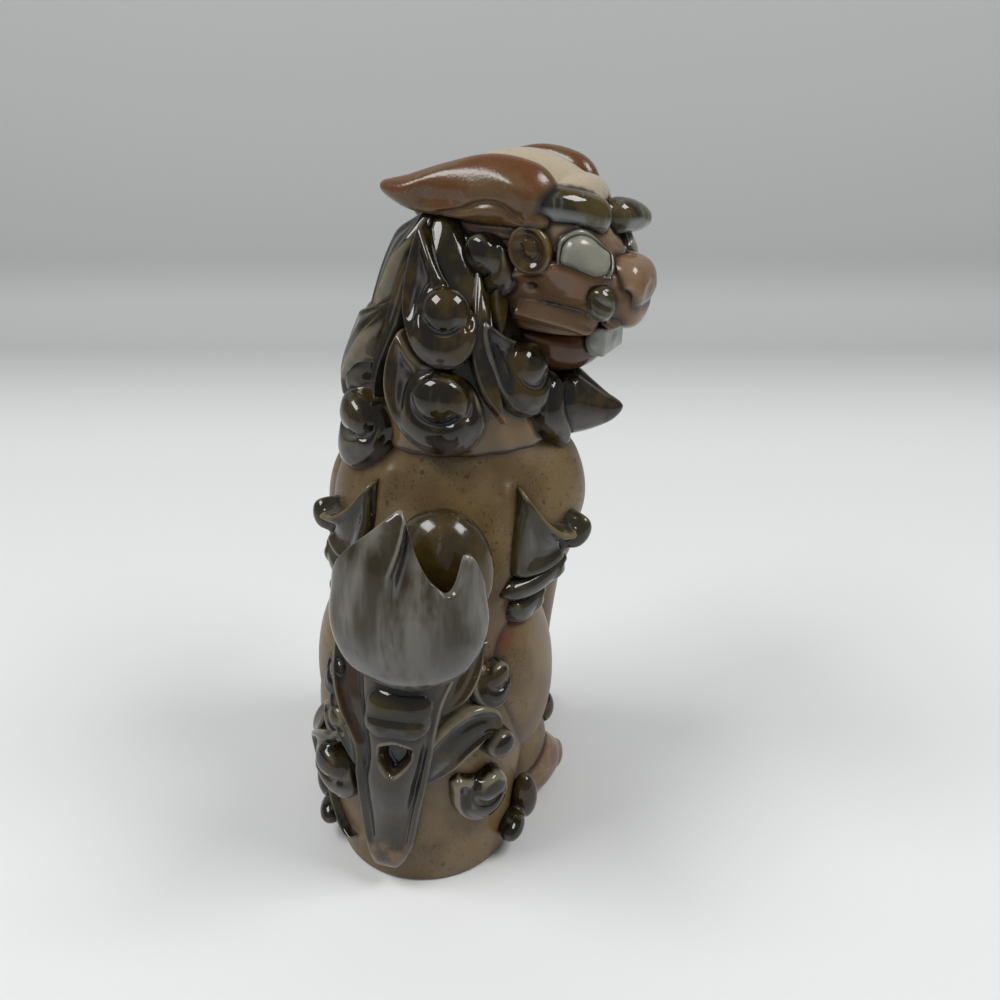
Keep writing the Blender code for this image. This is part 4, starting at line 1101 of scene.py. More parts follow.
# %% The ears
def make_ear(side_name, side):
    """A horn-shaped ear: a ridge along its length, a dip under it, a lobe and a flange."""
    root = 16.0
    out = LEFTWARD * side + UP * 0.45

    def spot(share, left, up, across, deep):
        return (in_head(root - share * EAR_LENGTH, side * left, up), out, across, deep)

    clay = bmesh.new()
    roll(clay, [spot(-0.06, 12.5, 17.5, 5.0, 4.0), spot(0.10, 15.5, 19.5, 7.4, 5.0),
                spot(0.32, 17.5, 20.4, 8.2, 4.8), spot(0.56, 19.3, 19.6, 6.8, 4.4),
                spot(0.78, 20.4, 18.8, 4.7, 3.7), spot(0.92, 20.8, 19.4, 2.6, 2.4),
                spot(1.0, 21, 20.2, 1.1, 1.1)], rings=50, sides=40)
    roll(clay, [spot(-0.04, 15.0, 12.5, 3.2, 3.0), spot(0.12, 17.4, 14.6, 3.6, 3.4),
                spot(0.30, 18.4, 15.0, 3.2, 3.2), spot(0.52, 18.8, 14.0, 1.6, 2.0)])
    roll(clay, [spot(-0.02, 14.0, 9.5, 3.0, 2.6), spot(0.25, 16.2, 11.0, 3.6, 2.8),
                spot(0.55, 15.5, 11.0, 3.2, 2.8), spot(0.86, 14.5, 14.0, 1.6, 2.0)])
    near = side * 24.5
    strokes = [
        (head_line((13, near * 0.80, 19), (8, near * 0.92, 23.5), (1.5, near * 0.95, 26.5),
                   (-8, near * 0.95, 25.5), (-15, near, 21.5), (-21, near, 19.5),
                   (-26, near, 20.5)), 2.2, 0.9),
        (head_line((-4, near, 17.5), (-9, near, 17.5), (-13.5, near, 17.5)), 2.8, -1.5),
        (head_line((12, side * 20, 13.5), (7, side * 22.5, 17.0), (2, side * 23.5, 17.2),
                   (-3, side * 23.5, 15.0), (-9, side * 23, 13.6)), 1.0, -1.1),
        (head_line((13, side * 18, 10.0), (6, side * 20.5, 11.2), (-3, side * 21, 11.4),
                   (-12, side * 20.5, 13.0), (-20, side * 20.5, 15.5)), 0.9, -1.2),
    ]
    knead("ear_" + side_name, clay, "ear_iron", grain=0.42, strokes=strokes)


for side_name, side in SIDES:
    make_face_side(side_name, side)
    make_ear(side_name, side)
print("pieces with the head:", len(pieces))

# %% [markdown]
# ## Legs, haunches and paws
#
# The limbs are full, soft masses pressed onto the body. They are kneaded from eggs and
# rolls, the toes are parted by pressed lines, and the ones that stand are cut off flat.

# %% Haunches and hind paws
TOE_SPREAD, TOE_GAP = 0.66, 0.34  # places of the toes and of the gaps, in paw radii


def make_haunch(side_name, side):
    clay = bmesh.new()
    lean = np.array((-0.28, 0, 1.0))
    lean /= np.linalg.norm(lean)
    outward = np.array((0, side, 0))
    ball(clay, (-4, HAUNCH_ASIDE + side * HAUNCH_SPREAD, RUMP_HEIGHT + 2), outward, lean,
         (HAUNCH_HALF_HEIGHT, 24, 15.5))
    ball(clay, (7, HAUNCH_ASIDE + side * (HAUNCH_SPREAD + 4), 18), outward, lean, (15, 14, 9))
    knead("haunch_" + side_name, clay, "buff_ash", grain=0.8, rounds=8)


def toe_gaps(heel, length, radius):
    """Pressed lines between the toes of a paw."""
    gaps = []
    for k in (-1, 1):
        across = k * radius * TOE_GAP
        gaps.append(([heel + np.array((length * 0.45, across, radius * 0.95)),
                      heel + np.array((length * 0.8, across * 1.1, radius * 0.6)),
                      heel + np.array((length + 1.0, across * 1.2, -radius * 0.4)),
                      heel + np.array((length + 0.5, across * 1.2, -radius))], 1.0, -1.4))
    return gaps


def toes(clay, heel, length, radius):
    """Three eggs side by side, the middle one a little ahead."""
    for k in (-1, 0, 1):
        tip = heel + np.array((length - radius * 0.9 - abs(k) * 1.8, k * radius * TOE_SPREAD,
                               -radius * 0.22))
        ball(clay, tip, UP, (1, 0, 0), (radius * 0.8, radius * 0.42, radius * 0.66))


def make_hind_paw(side_name, side):
    clay = bmesh.new()
    heel = np.array((-4, side * (HIND_PAW_SPREAD - 4), PAW_RADIUS))
    reach = HIND_PAW_LENGTH - 2
    roll(clay, [(heel, UP, PAW_RADIUS - 2.5, PAW_RADIUS),
                (heel + (reach * 0.5, side * 4, 0.5), UP, PAW_RADIUS - 1.5, PAW_RADIUS + 1),
                (heel + (reach, side * 7, -2), UP, PAW_RADIUS - 2, PAW_RADIUS - 2)])
    toe_root = heel + (1, side * 5.4, 0)
    toes(clay, toe_root, HIND_PAW_LENGTH + 1, PAW_RADIUS - 1.5)
    knead("hind_paw_" + side_name, clay, "paw_iron", standing=True,
          strokes=toe_gaps(toe_root, HIND_PAW_LENGTH, PAW_RADIUS - 1.5))


print("the toes stand", round(PAW_RADIUS * TOE_SPREAD, 1), "mm apart")


# %% Forelegs and fore paws
def make_foreleg(side_name, side):
    """A shoulder egg and a leg that tapers down to the paw, with a sinew along it."""
    clay = bmesh.new()
    across = CHEST_ASIDE / 2 + side * FORELEG_SPREAD
    front = np.array((1.0, 0, 0))
    ball(clay, (16, across + side * 7, CHEST_HEIGHT - 8), (0, side, 0), UP, (22, 13, 12))
    roll(clay, [((FORELEG_FORWARD - 13, across + side * 4, CHEST_HEIGHT - 4), front,
                 FORELEG_RADIUS + 4.5, FORELEG_RADIUS + 4),
                ((FORELEG_FORWARD - 7, across + side * 3, CHEST_HEIGHT - 30), front,
                 FORELEG_RADIUS + 2, FORELEG_RADIUS + 2),
                ((FORELEG_FORWARD - 1, across + side, RUMP_HEIGHT - 10), front,
                 FORELEG_RADIUS, FORELEG_RADIUS),
                ((FORELEG_FORWARD, across, PAW_RADIUS), front,
                 FORELEG_RADIUS, FORELEG_RADIUS)])
    sinew = [(FORELEG_FORWARD - 2, across + side * (FORELEG_RADIUS + 4), CHEST_HEIGHT - 20),
             (FORELEG_FORWARD + 1, across + side * (FORELEG_RADIUS + 1), CHEST_HEIGHT - 45),
             (FORELEG_FORWARD + 2, across + side * FORELEG_RADIUS, 30)]
    knead("foreleg_" + side_name, clay, "buff_ash", grain=0.7, rounds=8, standing=True,
          strokes=[(sinew, 2.2, -0.8)])


def make_fore_paw(side_name, side):
    clay = bmesh.new()
    across = CHEST_ASIDE / 2 + side * FORELEG_SPREAD
    heel = np.array((FORELEG_FORWARD - 2, across, PAW_RADIUS - 2))
    reach = FORE_PAW_LENGTH - PAW_RADIUS
    roll(clay, [(heel, UP, PAW_RADIUS + 0.5, PAW_RADIUS),
                (heel + (reach, 0, -1.5), UP, PAW_RADIUS, PAW_RADIUS - 2)])
    toes(clay, heel, FORE_PAW_LENGTH, PAW_RADIUS)
    knead("fore_paw_" + side_name, clay, "paw_iron", standing=True,
          strokes=toe_gaps(heel, FORE_PAW_LENGTH - 1, PAW_RADIUS))


print("fore paws", 2 * FORELEG_SPREAD, "mm apart")


# %% The flames of hair behind the elbows
# The wing's outline, the line of its upper rim and its knob, as (height over the chest,
# bearing)
WING_OUTLINE = ((14, -146), (8, -139.5), (3.6, -134), (0.8, -127), (1.4, -121), (3.4, -116),
                (1.6, -109.5), (-3.5, -106.5), (-7.5, -109), (-10.5, -118), (-11.5, -130),
                (-10.5, -141), (-5, -147.5), (3, -150))
WING_RIM = ((13.4, -145.4), (7.2, -138.8), (2.6, -132.8), (-0.4, -126), (-0.8, -119))
WING_ANCHOR = (-3.0, -130.0)
WING_KNOB = (-1.4, -111.5)
# Lower locks: name, outline and knob
ELBOW_LOCKS = (
    ("elbow_curl_", ((-11.0, -142), (-10.6, -128), (-9.4, -114), (-8.4, -104), (-11, -99.5),
                     (-15.0, -102), (-17.6, -116), (-17.6, -134), (-15, -144)),
     (-12.4, -105)),
    ("elbow_knob_", ((-17.6, -132), (-17.8, -116), (-17.0, -103), (-20, -98.5), (-25, -101),
                     (-27.5, -110), (-24.5, -124)), (-21.2, -103.5)),
)
KNOB_RADIUS = 2.6


# Heights in millimetres: the wing's sheet, the hollow in it and the lip at its foot, then the
# start of its rim, what the rim gains along the wing and the groove under it, then the knob
WING_SHEET, WING_HOLLOW, WING_LIP = 3.4, 1.5, 0.75
RIM_START, RIM_GROWTH, RIM_GROOVE = 1.6, 2.0, 0.9
KNOB_FOOT, KNOB_RISE, KNOB_HALF_LENGTH, KNOB_HALF_HEIGHT = 2.6, 4.0, 3.6, 4.6


def wing_height(rim, knob):
    """A hollow sheet under a raised rim, which ends in a knob, with a lip along its foot."""
    def lift_at(x, y, inside):
        near, along = line_distance(np.stack([x, y], axis=-1), rim)
        hollow = WING_HOLLOW * smooth_step((inside - 2.4) / 3.4)
        sheet = WING_SHEET * rounded(inside, 3.2) - hollow + WING_LIP * bump_at(inside, 1.3, 1.0)
        ridge = (RIM_START + RIM_GROWTH * smooth_step(along * 1.4)) * bump_at(near, 0.0, 1.0)
        groove = RIM_GROOVE * bump_at(near, 2.1, 0.7) * smooth_step(along * 2)
        away = np.hypot((x - knob[0]) / KNOB_HALF_LENGTH, (y - knob[1]) / KNOB_HALF_HEIGHT)
        bead = KNOB_FOOT + KNOB_RISE * dome(away)
        full = sheet + ridge - groove - 1.6 * bump_at(away, 1.15, 0.16)
        return np.where(away < 1, soft_max(full * 0.6, bead, 0.6), np.maximum(full, 0.3))
    return lift_at


def lock_height(radius):
    """A full lock with a spiral pressed into the knob at its anchor."""
    def lift_at(x, y, inside):
        full = 4.2 * rounded(inside, 3.6)
        away = np.hypot(x, y)
        spiral = 1.3 * bump_at(away, radius * 0.62, 0.55) * smooth_step((x + y) / radius + 0.6)
        return full + 0.9 * dome(away / (radius * 1.25)) - spiral
    return lift_at


def make_elbow(side_name, side):
    wing_anchor = above(CHEST_HEIGHT, [WING_ANCHOR])[0]
    rim = smooth_path(local(BODY, wing_anchor, above(CHEST_HEIGHT, WING_RIM)))
    knob = local(BODY, wing_anchor, above(CHEST_HEIGHT, [WING_KNOB]))[0]
    flames = [("elbow_wing_", WING_OUTLINE, WING_ANCHOR, wing_height(rim, knob))]
    flames += [(name, outline, spot, lock_height(KNOB_RADIUS))
               for name, outline, spot in ELBOW_LOCKS]
    for name, outline, spot, height in flames:
        anchor = above(CHEST_HEIGHT, [spot])[0]
        loop = smooth_path(local(BODY, anchor, above(CHEST_HEIGHT, outline)), closed=True)
        flame = relief(BODY, anchor, loop, height, mirror=side > 0)
        new_piece(name + side_name, flame, "wing_iron")


print("flames of hair on each side:", 1 + len(ELBOW_LOCKS))


# %% Knobs of hair at the ankles and hocks
def make_ankle_and_hock(side_name, side):
    clay = bmesh.new()
    ball(clay, (15, side * (HIND_PAW_SPREAD + 1.5), 2 * PAW_RADIUS + 8), (0, side, 0), UP,
         (6.0, 4.2, 4.0))
    knead("ankle_knob_" + side_name, clay, "olive_iron", grain=0.4)
    clay = bmesh.new()
    hock = np.array((-16, side * (RUMP_HALF_WIDTH - 0.5), 14))
    ball(clay, hock, (0, side, 0), UP, (8, 4.2, 4))
    ball(clay, hock - (7, side * 3, 5), (0, side, 0), UP, (4, 7, 4))
    knead("hock_drop_" + side_name, clay, "olive_iron", grain=0.4)


for side_name, side in SIDES:
    make_haunch(side_name, side)
    make_hind_paw(side_name, side)
    make_foreleg(side_name, side)
    make_fore_paw(side_name, side)
    make_elbow(side_name, side)
    make_ankle_and_hock(side_name, side)
print("pieces with the limbs:", len(pieces))

# %% [markdown]
# ## The flame tail
#
# The tail stands up the back like a lotus bud. A cup of clay with a pointed and waved edge
# closes round a lobe, and a ridged stem runs down from it to the foot between curls. The cup
# is a real shell here: its skin is walked up the outside, over the edge and down the inside.

# %% The cup of the bud
# Bearing, height of the cup's edge there, and how far it follows the lean
CUP_EDGE = ((-180, 50.0, 1.0), (-173, 49.4, 1.0), (-165, 46.0, 0.95), (-155, 38, 0.8),
            (-145, 33.0, 0.6), (-137, 31.5, 0.5), (-129, 33.0, 0.4), (-120, 37.0, 0.3),
            (-112, 40.0, 0.2), (-104, 38, 0.2), (-92, 33, 0.2), (-76, 28, 0.2),
            (-40, 23, 0.2), (0, 21, 0.2), (60, 23, 0.3), (96, 31, 0.5), (119, 39.5, 0.8),
            (141, 45.6, 1.0), (156, 48.3, 1.0), (165, 49.3, 1.0), (173, 49.9, 1.0),
            (180, 50.0, 1.0))
# Height and size of the cup, and height and how much smaller its leaning side is
CUP_PROFILE = ((0, 0.20), (1.6, 0.36), (3.2, 0.52), (5.6, 0.70), (9.3, 0.86), (15, 0.98),
               (21, 1.03), (30, 1.0), (50, 1.0))
CUP_LEAN = ((0, 0.0), (22, 0.0), (28, 0.03), (34, 0.09), (40, 0.20), (45, 0.36), (50, 0.60))
CUP_WALL, CUP_HALF_LENGTH, CUP_HALF_WIDTH, CUP_ASIDE = 3.0, 12.0, 19.4, -4.6
FOLD_BEARING, FOLD_DEPTH = 166.0, 3.4


def curve(table, at):
    """The smooth curve through a table whose first column counts along it."""
    table = np.array(table, float)
    return through(table[:, 0], table[:, 1:], at)


def cup_points(bearings, height, inset):
    """Points of the cup: height counts up to its edge, and inset is how far they are inside."""
    edge = curve(CUP_EDGE, bearings)
    z = height * edge[..., 0]
    size = curve(CUP_PROFILE, z)[..., 0] - curve(CUP_LEAN, z)[..., 0] * np.clip(edge[..., 1], 0, 1)
    turn = np.radians(bearings)
    x = np.cos(turn) * np.maximum(size * CUP_HALF_LENGTH - inset, 0.4)
    y = np.sin(turn) * np.maximum(size * CUP_HALF_WIDTH - inset, 0.4)
    from_tip = np.mod(bearings + FOLD_BEARING + 180.0, 360.0) - 180.0
    fold_width = 4.0 + 1.3 * np.clip(48.5 - z, 0, 12)
    fold = FOLD_DEPTH * smooth_step((fold_width - np.abs(from_tip)) / 6 + 0.5)
    fold = fold * smooth_step((z - 25) / 17) * smooth_step((49.5 - z) / 3)
    pleats = 0.16 * np.cos(np.radians(bearings * 9) + 0.5) * smooth_step((z - 3) / 8)
    grow = 1 + (pleats - fold) / np.hypot(x, y)
    x, y = x * grow, y * grow
    return np.stack([x - TAIL_LEAN + 1.5, y + CUP_ASIDE, TAIL_COLLAR_HEIGHT - 1 + z], axis=-1)


def make_cup():
    bearings = np.arange(192) * 360.0 / 192 - 180.0
    rings = [(rise, 0.0) for rise in np.linspace(0.0, 1.0, 90) ** 0.85]
    rings += [(1.012, 0.12), (1.02, 0.34), (1.02, 0.66), (1.012, 0.88)]
    rings += [(rise, 1.0) for rise in np.linspace(0.99, 0.25, 40)]
    from_rings("tail_bud", np.array([cup_points(bearings, rise, CUP_WALL * share)
                                     for rise, share in rings]),
               "milky_ash", ["tail_bud", "tail_side_petal"])


def make_back_lobe():
    clay = bmesh.new()
    ball(clay, (-TAIL_LEAN + 13, -11, TAIL_COLLAR_HEIGHT + 27), REAR, UP, (17, 13.5, 10))
    ball(clay, (-TAIL_LEAN + 20, -5, TAIL_COLLAR_HEIGHT + 12), REAR, UP, (22, 13, 14))
    knead("tail_back_lobe", clay, "lobe_iron")


make_cup()
make_back_lobe()
print("points of the bud:", len(pieces[-2][0].data.vertices))

# %% Tail stem
# Height, bearing of the stem's middle and its half width
STEM_ROWS = ((6, 168, 1.2), (6.5, 168, 2.8), (7.6, 168, 4.3), (9.5, 168.5, 5.6),
             (12, 169, 6.5), (15, 170, 7.2), (20, 171, 7.9),
             (30, 173, 9.0), (40, 175, 10.2), (50, 176, 11.2), (57, 171, 14.5), (64, 166, 18.0),
             (77, 163, 24.0))
STEM_BEARING, STEM_FOOT = 178.0, 6.0
# Heights of the plate, of its rims, of the swelling and what it gains upwards, and of the bulb
# at the foot, and the heights over the table between which the heart-shaped hollow lies
PLATE, RIM, SWELLING, SWELLING_GROWTH, FOOT_BULB = 1.9, 2.2, 3.6, 2.0, 5.2
HEART_HALF_WIDTH, HEART_FROM, HEART_TO = 3.9, 41, 53.5


def make_tail_stem():
    """A plate with raised rims, a swelling down its middle and a heart-shaped hollow."""
    top = TAIL_COLLAR_HEIGHT + 4
    across = np.linspace(-1, 1, 81)
    height = top + (STEM_FOOT - top) * np.linspace(0, 1, 200)
    middle, half = curve(STEM_ROWS, height).T
    u = across[None, :] * half[:, None]
    z = height[:, None] + 0 * u
    angle = middle[:, None] - u / BODY.girth(z)
    centre = middle + (STEM_BEARING - middle) * smooth_step((height - 38) / 14)
    aside = (angle - centre[:, None]) * BODY.girth(z)
    edge = half[:, None] - np.abs(u)
    end = np.minimum(edge, (height - STEM_FOOT)[:, None])
    lift = PLATE + RIM * bump_at(end, 1.9, 1.5)
    swelling = rounded(1 - np.abs(aside) / (0.66 * half[:, None]), 1.0)
    swelling *= SWELLING + SWELLING_GROWTH * smooth_step((z - 22) / 22)
    lift = soft_max(lift, 0.9 + swelling * smooth_step((76 - z) / 6), 1.6)
    bulb = FOOT_BULB * rounded(end, 5.5)
    lift = lift + (bulb - lift) * smooth_step((19 - z) / 9)
    heart_half = HEART_HALF_WIDTH * smooth_step((z - HEART_FROM) / 8)
    heart_half *= smooth_step((HEART_TO - z) / 2.5)
    heart = smooth_step((heart_half - np.abs(aside - 0.4)) / 2.2 + 0.2)
    lift = lift * (1 - 0.75 * heart * smooth_step((heart_half - 0.3) / 1.4))
    rise = smooth_step(end / 0.9)
    lift = lift * rise - 1.0 * (1 - rise)
    skin, out = BODY.place(z, angle, lift)
    plate = close_under(skin, out, np.ones(z.shape, bool), lift + 2.4)
    new_piece("tail_stem", plate, "stem_ash")


def stem_knob_height(x, y, inside):
    """A squared dome with a faint crease across it."""
    return 3.2 + 4.2 * rounded(inside, 6.0) - 0.6 * bump_at(y, -1.0, 1.6) * rounded(inside, 3.0)


make_tail_stem()
new_piece("stem_knob", relief(BODY, (60.0, STEM_BEARING), round_outline(9.0, 7.6, 0.7),
                              stem_knob_height, 0.36), "knob_iron", nodes=[])
print("the stem widens from", 2 * STEM_ROWS[0][2], "to", 2 * STEM_ROWS[-1][2], "mm")

# %% Curls and leaves beside the stem
# name, eye (height, bearing), ball radius, root, turn, rise, width
TAIL_CURLS = (
    ("tail_curl_high_right", (65.5, -131), 3.9, (71, -141), 1, 1.0, 0.9),
    ("tail_curl_low_right", (33.5, -135), 5.0, (40, -152), 1, 1.0, 0.9),
    ("tail_curl_high_left", (64, 133), 3.3, (69, 141), 1, 0.9, 0.9),
    ("tail_curl_mid_left", (53, 143), 3.3, (59, 146), 1, 0.9, 0.9),
    ("tail_curl_low_left", (38, 138), 5.2, (52, 150), 1, 1.0, 1.0),
)
# Leaves between them: places (height, bearing), half widths, pad
STEM_LEAVES = (
    ("tail_curl_high_right", ((57, -162), (66, -152), (74, -145), (77, -139)),
     (1.0, 4.4, 4.6, 0.8), 3.4),
    ("tail_curl_mid_right", ((36, -170), (47, -160), (53, -148), (53, -137), (48, -130)),
     (0.8, 5.4, 6.6, 6.0, 0.8), 3.8),
    ("tail_curl_low_right", ((28, -145), (26, -138), (26, -129), (29, -120)),
     (0.5, 2.8, 3.6, 0.5), 1.8),
    ("tail_curl_low_left", ((60, 146), (50, 128), (34, 112), (19, 114), (11, 128), (9, 142)),
     (0.8, 2.8, 3.4, 3.4, 3.0, 0.8), 2.8),
    ("tail_curl_mid_left", ((68, 130), (60, 136), (50, 150), (40, 158)),
     (0.8, 3.2, 3.8, 0.8), 2.8),
)


LEAF_KNOB = (47.5, -132)


def leaf_knob_height(x, y, inside):
    """A round knob at the end of a leaf."""
    return 3.4 + 3.8 * dome(np.hypot(x, y) / 4.2)


def make_tail_curls():
    """Some pieces are a curl, some are a leaf, and some are both joined."""
    parts = {}
    for name, eye, radius, root, turn, rise, width in TAIL_CURLS:
        parts[name] = [curl(BODY, eye, radius, root, turn, rise, width, 0.9, 0.36)]
    for name, places, half_widths, pad in STEM_LEAVES:
        leaf = strand(BODY, places, half_widths, leaf_height(pad), rows=100, cols=31)
        parts.setdefault(name, []).append(leaf)
    parts["tail_curl_mid_right"].append(
        relief(BODY, LEAF_KNOB, round_outline(4.4, 4.4, step=10), leaf_knob_height, 0.34))
    for name, meshes in parts.items():
        new_piece(name, join(meshes), "olive_iron")


make_tail_curls()
print("pieces with the tail:", len(pieces))

# %% [markdown]
# ## Where the glaze is thick and thin
#
# Glossy iron glaze is nearly black where it pools and tan where it runs off a ridge. Both
# are measured on the mesh. Points that stand over their near neighbours are thin, points
# that lie under their wider surroundings are pools, and seams are close to another piece.
# All three are stored on the points, where a shader reads them.

# %% Measure ridges and pools
# Spreads over near and wide surroundings, in square millimetres, and the heights over them,
# in millimetres, that count as fully thin or fully pooled
NEAR_SPREAD, WIDE_SPREAD = 1.1, 7.0
FULLY_THIN, FULLY_POOLED = 0.34, 0.45


def edge_array(mesh):
    """The two end points of every edge."""
    flat = np.empty(len(mesh.edges) * 2, int)
    mesh.edges.foreach_get("vertices", flat)
    return flat.reshape(-1, 2)


def spread(values, edges, rounds):
    """Average the values over neighbours, a few rounds."""
    size = len(values)
    count = np.bincount(edges.ravel(), minlength=size) + 1.0
    a, b = edges[:, 0], edges[:, 1]
    columns = [values] if values.ndim == 1 else list(values.T)
    for _ in range(rounds):
        columns = [(column + np.bincount(a, column[b], size) + np.bincount(b, column[a], size))
                   / count for column in columns]
    return columns[0] if values.ndim == 1 else np.stack(columns, axis=1)


def store(mesh, name, values):
    layer = mesh.attributes.new(name, "FLOAT", "POINT")
    layer.data.foreach_set("value", values.astype(np.float32))


def measure_relief(mesh):
    """Store how far each point stands over its near and its wider surroundings."""
    points, edges = vertex_array(mesh) / MM, edge_array(mesh)
    out = vertex_array(mesh, "normal")
    reach = np.linalg.norm(points[edges[:, 0]] - points[edges[:, 1]], axis=1).mean()
    near = spread(points, edges, max(2, int(NEAR_SPREAD / reach**2)))
    wide = spread(near, edges, min(90, max(8, int(WIDE_SPREAD / reach**2))))
    thin = np.sum((points - near) * out, axis=1)
    deep = np.sum((wide - points) * out, axis=1)
    store(mesh, "thin", np.clip(spread(thin, edges, 1) / FULLY_THIN, 0, 1))
    store(mesh, "pool", np.clip(spread(deep, edges, 1) / FULLY_POOLED, -1, 1) * 0.5 + 0.5)


for thing, _ in pieces:
    measure_relief(thing.data)
print("points measured:", sum(len(thing.data.vertices) for thing, _ in pieces))

# %% Measure the seams between pieces
SEAM_REACH = 2.6


def measure_seams():
    """1 where a piece meets another one, falling to 0 a few millimetres away."""
    trees = []
    for thing, _ in pieces:
        points = vertex_array(thing.data) / MM
        faces = [tuple(face.vertices) for face in thing.data.polygons]
        trees.append((BVHTree.FromPolygons(points.tolist(), faces), points.min(axis=0),
                      points.max(axis=0)))
    for k, (thing, _) in enumerate(pieces):
        points = vertex_array(thing.data) / MM
        nearest = np.full(len(points), SEAM_REACH)
        for other, (tree, low, high) in enumerate(trees):
            if other == k:
                continue
            inside = np.all((points > low - SEAM_REACH) & (points < high + SEAM_REACH), axis=1)
            for i in np.nonzero(inside)[0]:
                found = tree.find_nearest(points[i].tolist(), nearest[i])
                if found[3] is not None:
                    nearest[i] = found[3]
        store(thing.data, "seam", spread(1 - nearest / SEAM_REACH, edge_array(thing.data), 2))


measure_seams()
print("seams measured up to", SEAM_REACH, "mm from another piece")

# %% [markdown]
# ## Glazes
#
# The real dog was dipped in a clear buff ash glaze, brushed with iron on the head and the
# paws, and covered with a glossy olive iron glaze on the hair. We build four effects once,
# as node groups: specks of iron in the clay, streaks that run down, the way a glaze breaks
# over relief (with painted light on the faces that look down), and a second glaze poured
# down to a level. Each material then mixes its own colours with them.

# %% Small helpers for node trees
def add_node(tree, kind, **settings):
    made = tree.nodes.new(kind)
    for field, value in settings.items():
        setattr(made, field, value)
    return made


def plug(tree, source, target):
    """Link a socket to another, or set the colour or the number that it has without a link."""
    if isinstance(source, bpy.types.NodeSocket):
        tree.links.new(source, target)
    elif isinstance(source, tuple):
        target.default_value = (*source, 1.0)
    else:
        target.default_value = source


def mix_colour(tree, share, a, b):
    made = add_node(tree, "ShaderNodeMix", data_type="RGBA")
    plug(tree, share, made.inputs["Factor"])
    plug(tree, a, made.inputs[6])
    plug(tree, b, made.inputs[7])
    return made.outputs[2]


def calculate(tree, operation, *values, clamp=False):
    made = add_node(tree, "ShaderNodeMath", operation=operation, use_clamp=clamp)
    for value, socket in zip(values, made.inputs):
        plug(tree, value, socket)
    return made.outputs[0]


def ramp(tree, value, low, high):
    """0 below low, 1 above high and smooth between."""
    made = add_node(tree, "ShaderNodeMapRange", interpolation_type="SMOOTHSTEP")
    plug(tree, value, made.inputs["Value"])
    plug(tree, low, made.inputs["From Min"])
    plug(tree, high, made.inputs["From Max"])
    return made.outputs["Result"]


def noise(tree, scale, detail=3.0, stretch=(1, 1, 1)):
    """Noise in the piece's own space; scale counts bumps in a metre."""
    place = add_node(tree, "ShaderNodeTexCoord")
    mapping = add_node(tree, "ShaderNodeMapping")
    mapping.inputs["Scale"].default_value = stretch
    tree.links.new(place.outputs["Object"], mapping.inputs["Vector"])
    made = add_node(tree, "ShaderNodeTexNoise")
    made.inputs["Scale"].default_value = scale
    made.inputs["Detail"].default_value = detail
    made.inputs["Roughness"].default_value = 0.55
    tree.links.new(mapping.outputs["Vector"], made.inputs["Vector"])
    return made.outputs["Fac"]


def measured(tree, name):
    """A value that is stored on the points of the mesh."""
    return add_node(tree, "ShaderNodeAttribute", attribute_name=name).outputs["Fac"]


def one_axis(tree, kind, output, axis):
    """One axis of the place or the direction that a node gives."""
    split = add_node(tree, "ShaderNodeSeparateXYZ")
    tree.links.new(add_node(tree, kind).outputs[output], split.inputs["Vector"])
    return split.outputs[axis]


print("bumps of noise across the dog at scale 45:", round(45 * 2 * CHEST_HALF_WIDTH * MM, 1))


# %% Groups of nodes, and where their nodes stand
def new_group(name, inputs, outputs):
    """A node group; a socket is a colour where its name says so, and a number otherwise."""
    tree = bpy.data.node_groups.new(name, "ShaderNodeTree")
    for side, labels in (("INPUT", inputs), ("OUTPUT", outputs)):
        for label in labels:
            kind = "NodeSocketColor" if "Colour" in label else "NodeSocketFloat"
            tree.interface.new_socket(label, in_out=side, socket_type=kind)
    given, result = add_node(tree, "NodeGroupInput"), add_node(tree, "NodeGroupOutput")
    return tree, given.outputs, result.inputs


def place_group(tree, group, values):
    made = add_node(tree, "ShaderNodeGroup", node_tree=group)
    for label, value in values.items():
        plug(tree, value, made.inputs[label])
    return made.outputs


def spread_out(tree):
    """Stand each node to the left of the nodes that it feeds, so that the tree can be read."""
    column = {node.name: 0 for node in tree.nodes}
    for _ in tree.nodes:
        for link in tree.links:
            feeder, fed = link.from_node.name, link.to_node.name
            column[feeder] = max(column[feeder], column[fed] + 1)
    filled = dict.fromkeys(column.values(), 0)
    for node in tree.nodes:
        across = column[node.name]
        node.location = (-240 * across, -220 * filled[across])
        filled[across] += 1


# %% Iron specks in the clay
specks, given, result = new_group("iron_specks", ("Colour", "Speck Colour", "Amount"),
                                  ("Colour", "Height"))
fine = noise(specks, 1500, 2.0)
spots = calculate(specks, "MAXIMUM", ramp(specks, fine, 0.56, 0.72),
                  ramp(specks, noise(specks, 420), 0.60, 0.72))
spots = calculate(specks, "MULTIPLY", spots, ramp(specks, noise(specks, 60), 0.32, 0.62))
spots = calculate(specks, "MULTIPLY", spots, given["Amount"], clamp=True)
plug(specks, mix_colour(specks, spots, given["Colour"], given["Speck Colour"]),
     result["Colour"])
plug(specks, fine, result["Height"])
print("nodes for the specks:", len(specks.nodes))

# %% Streaks that run down with the glaze
streaks, given, result = new_group("running_streaks", ("Colour", "Streak Colour", "Amount"),
                                   ("Colour",))
threads = ramp(streaks, noise(streaks, 700, stretch=(1, 1, 0.12)), 0.50, 0.68)
bands = ramp(streaks, noise(streaks, 190, 2.0, (1, 1, 0.25)), 0.42, 0.64)
running = calculate(streaks, "MULTIPLY", threads, bands)
running = calculate(streaks, "MULTIPLY", running, given["Amount"], clamp=True)
plug(streaks, mix_colour(streaks, running, given["Colour"], given["Streak Colour"]),
     result["Colour"])
print("nodes for the streaks:", len(streaks.nodes))
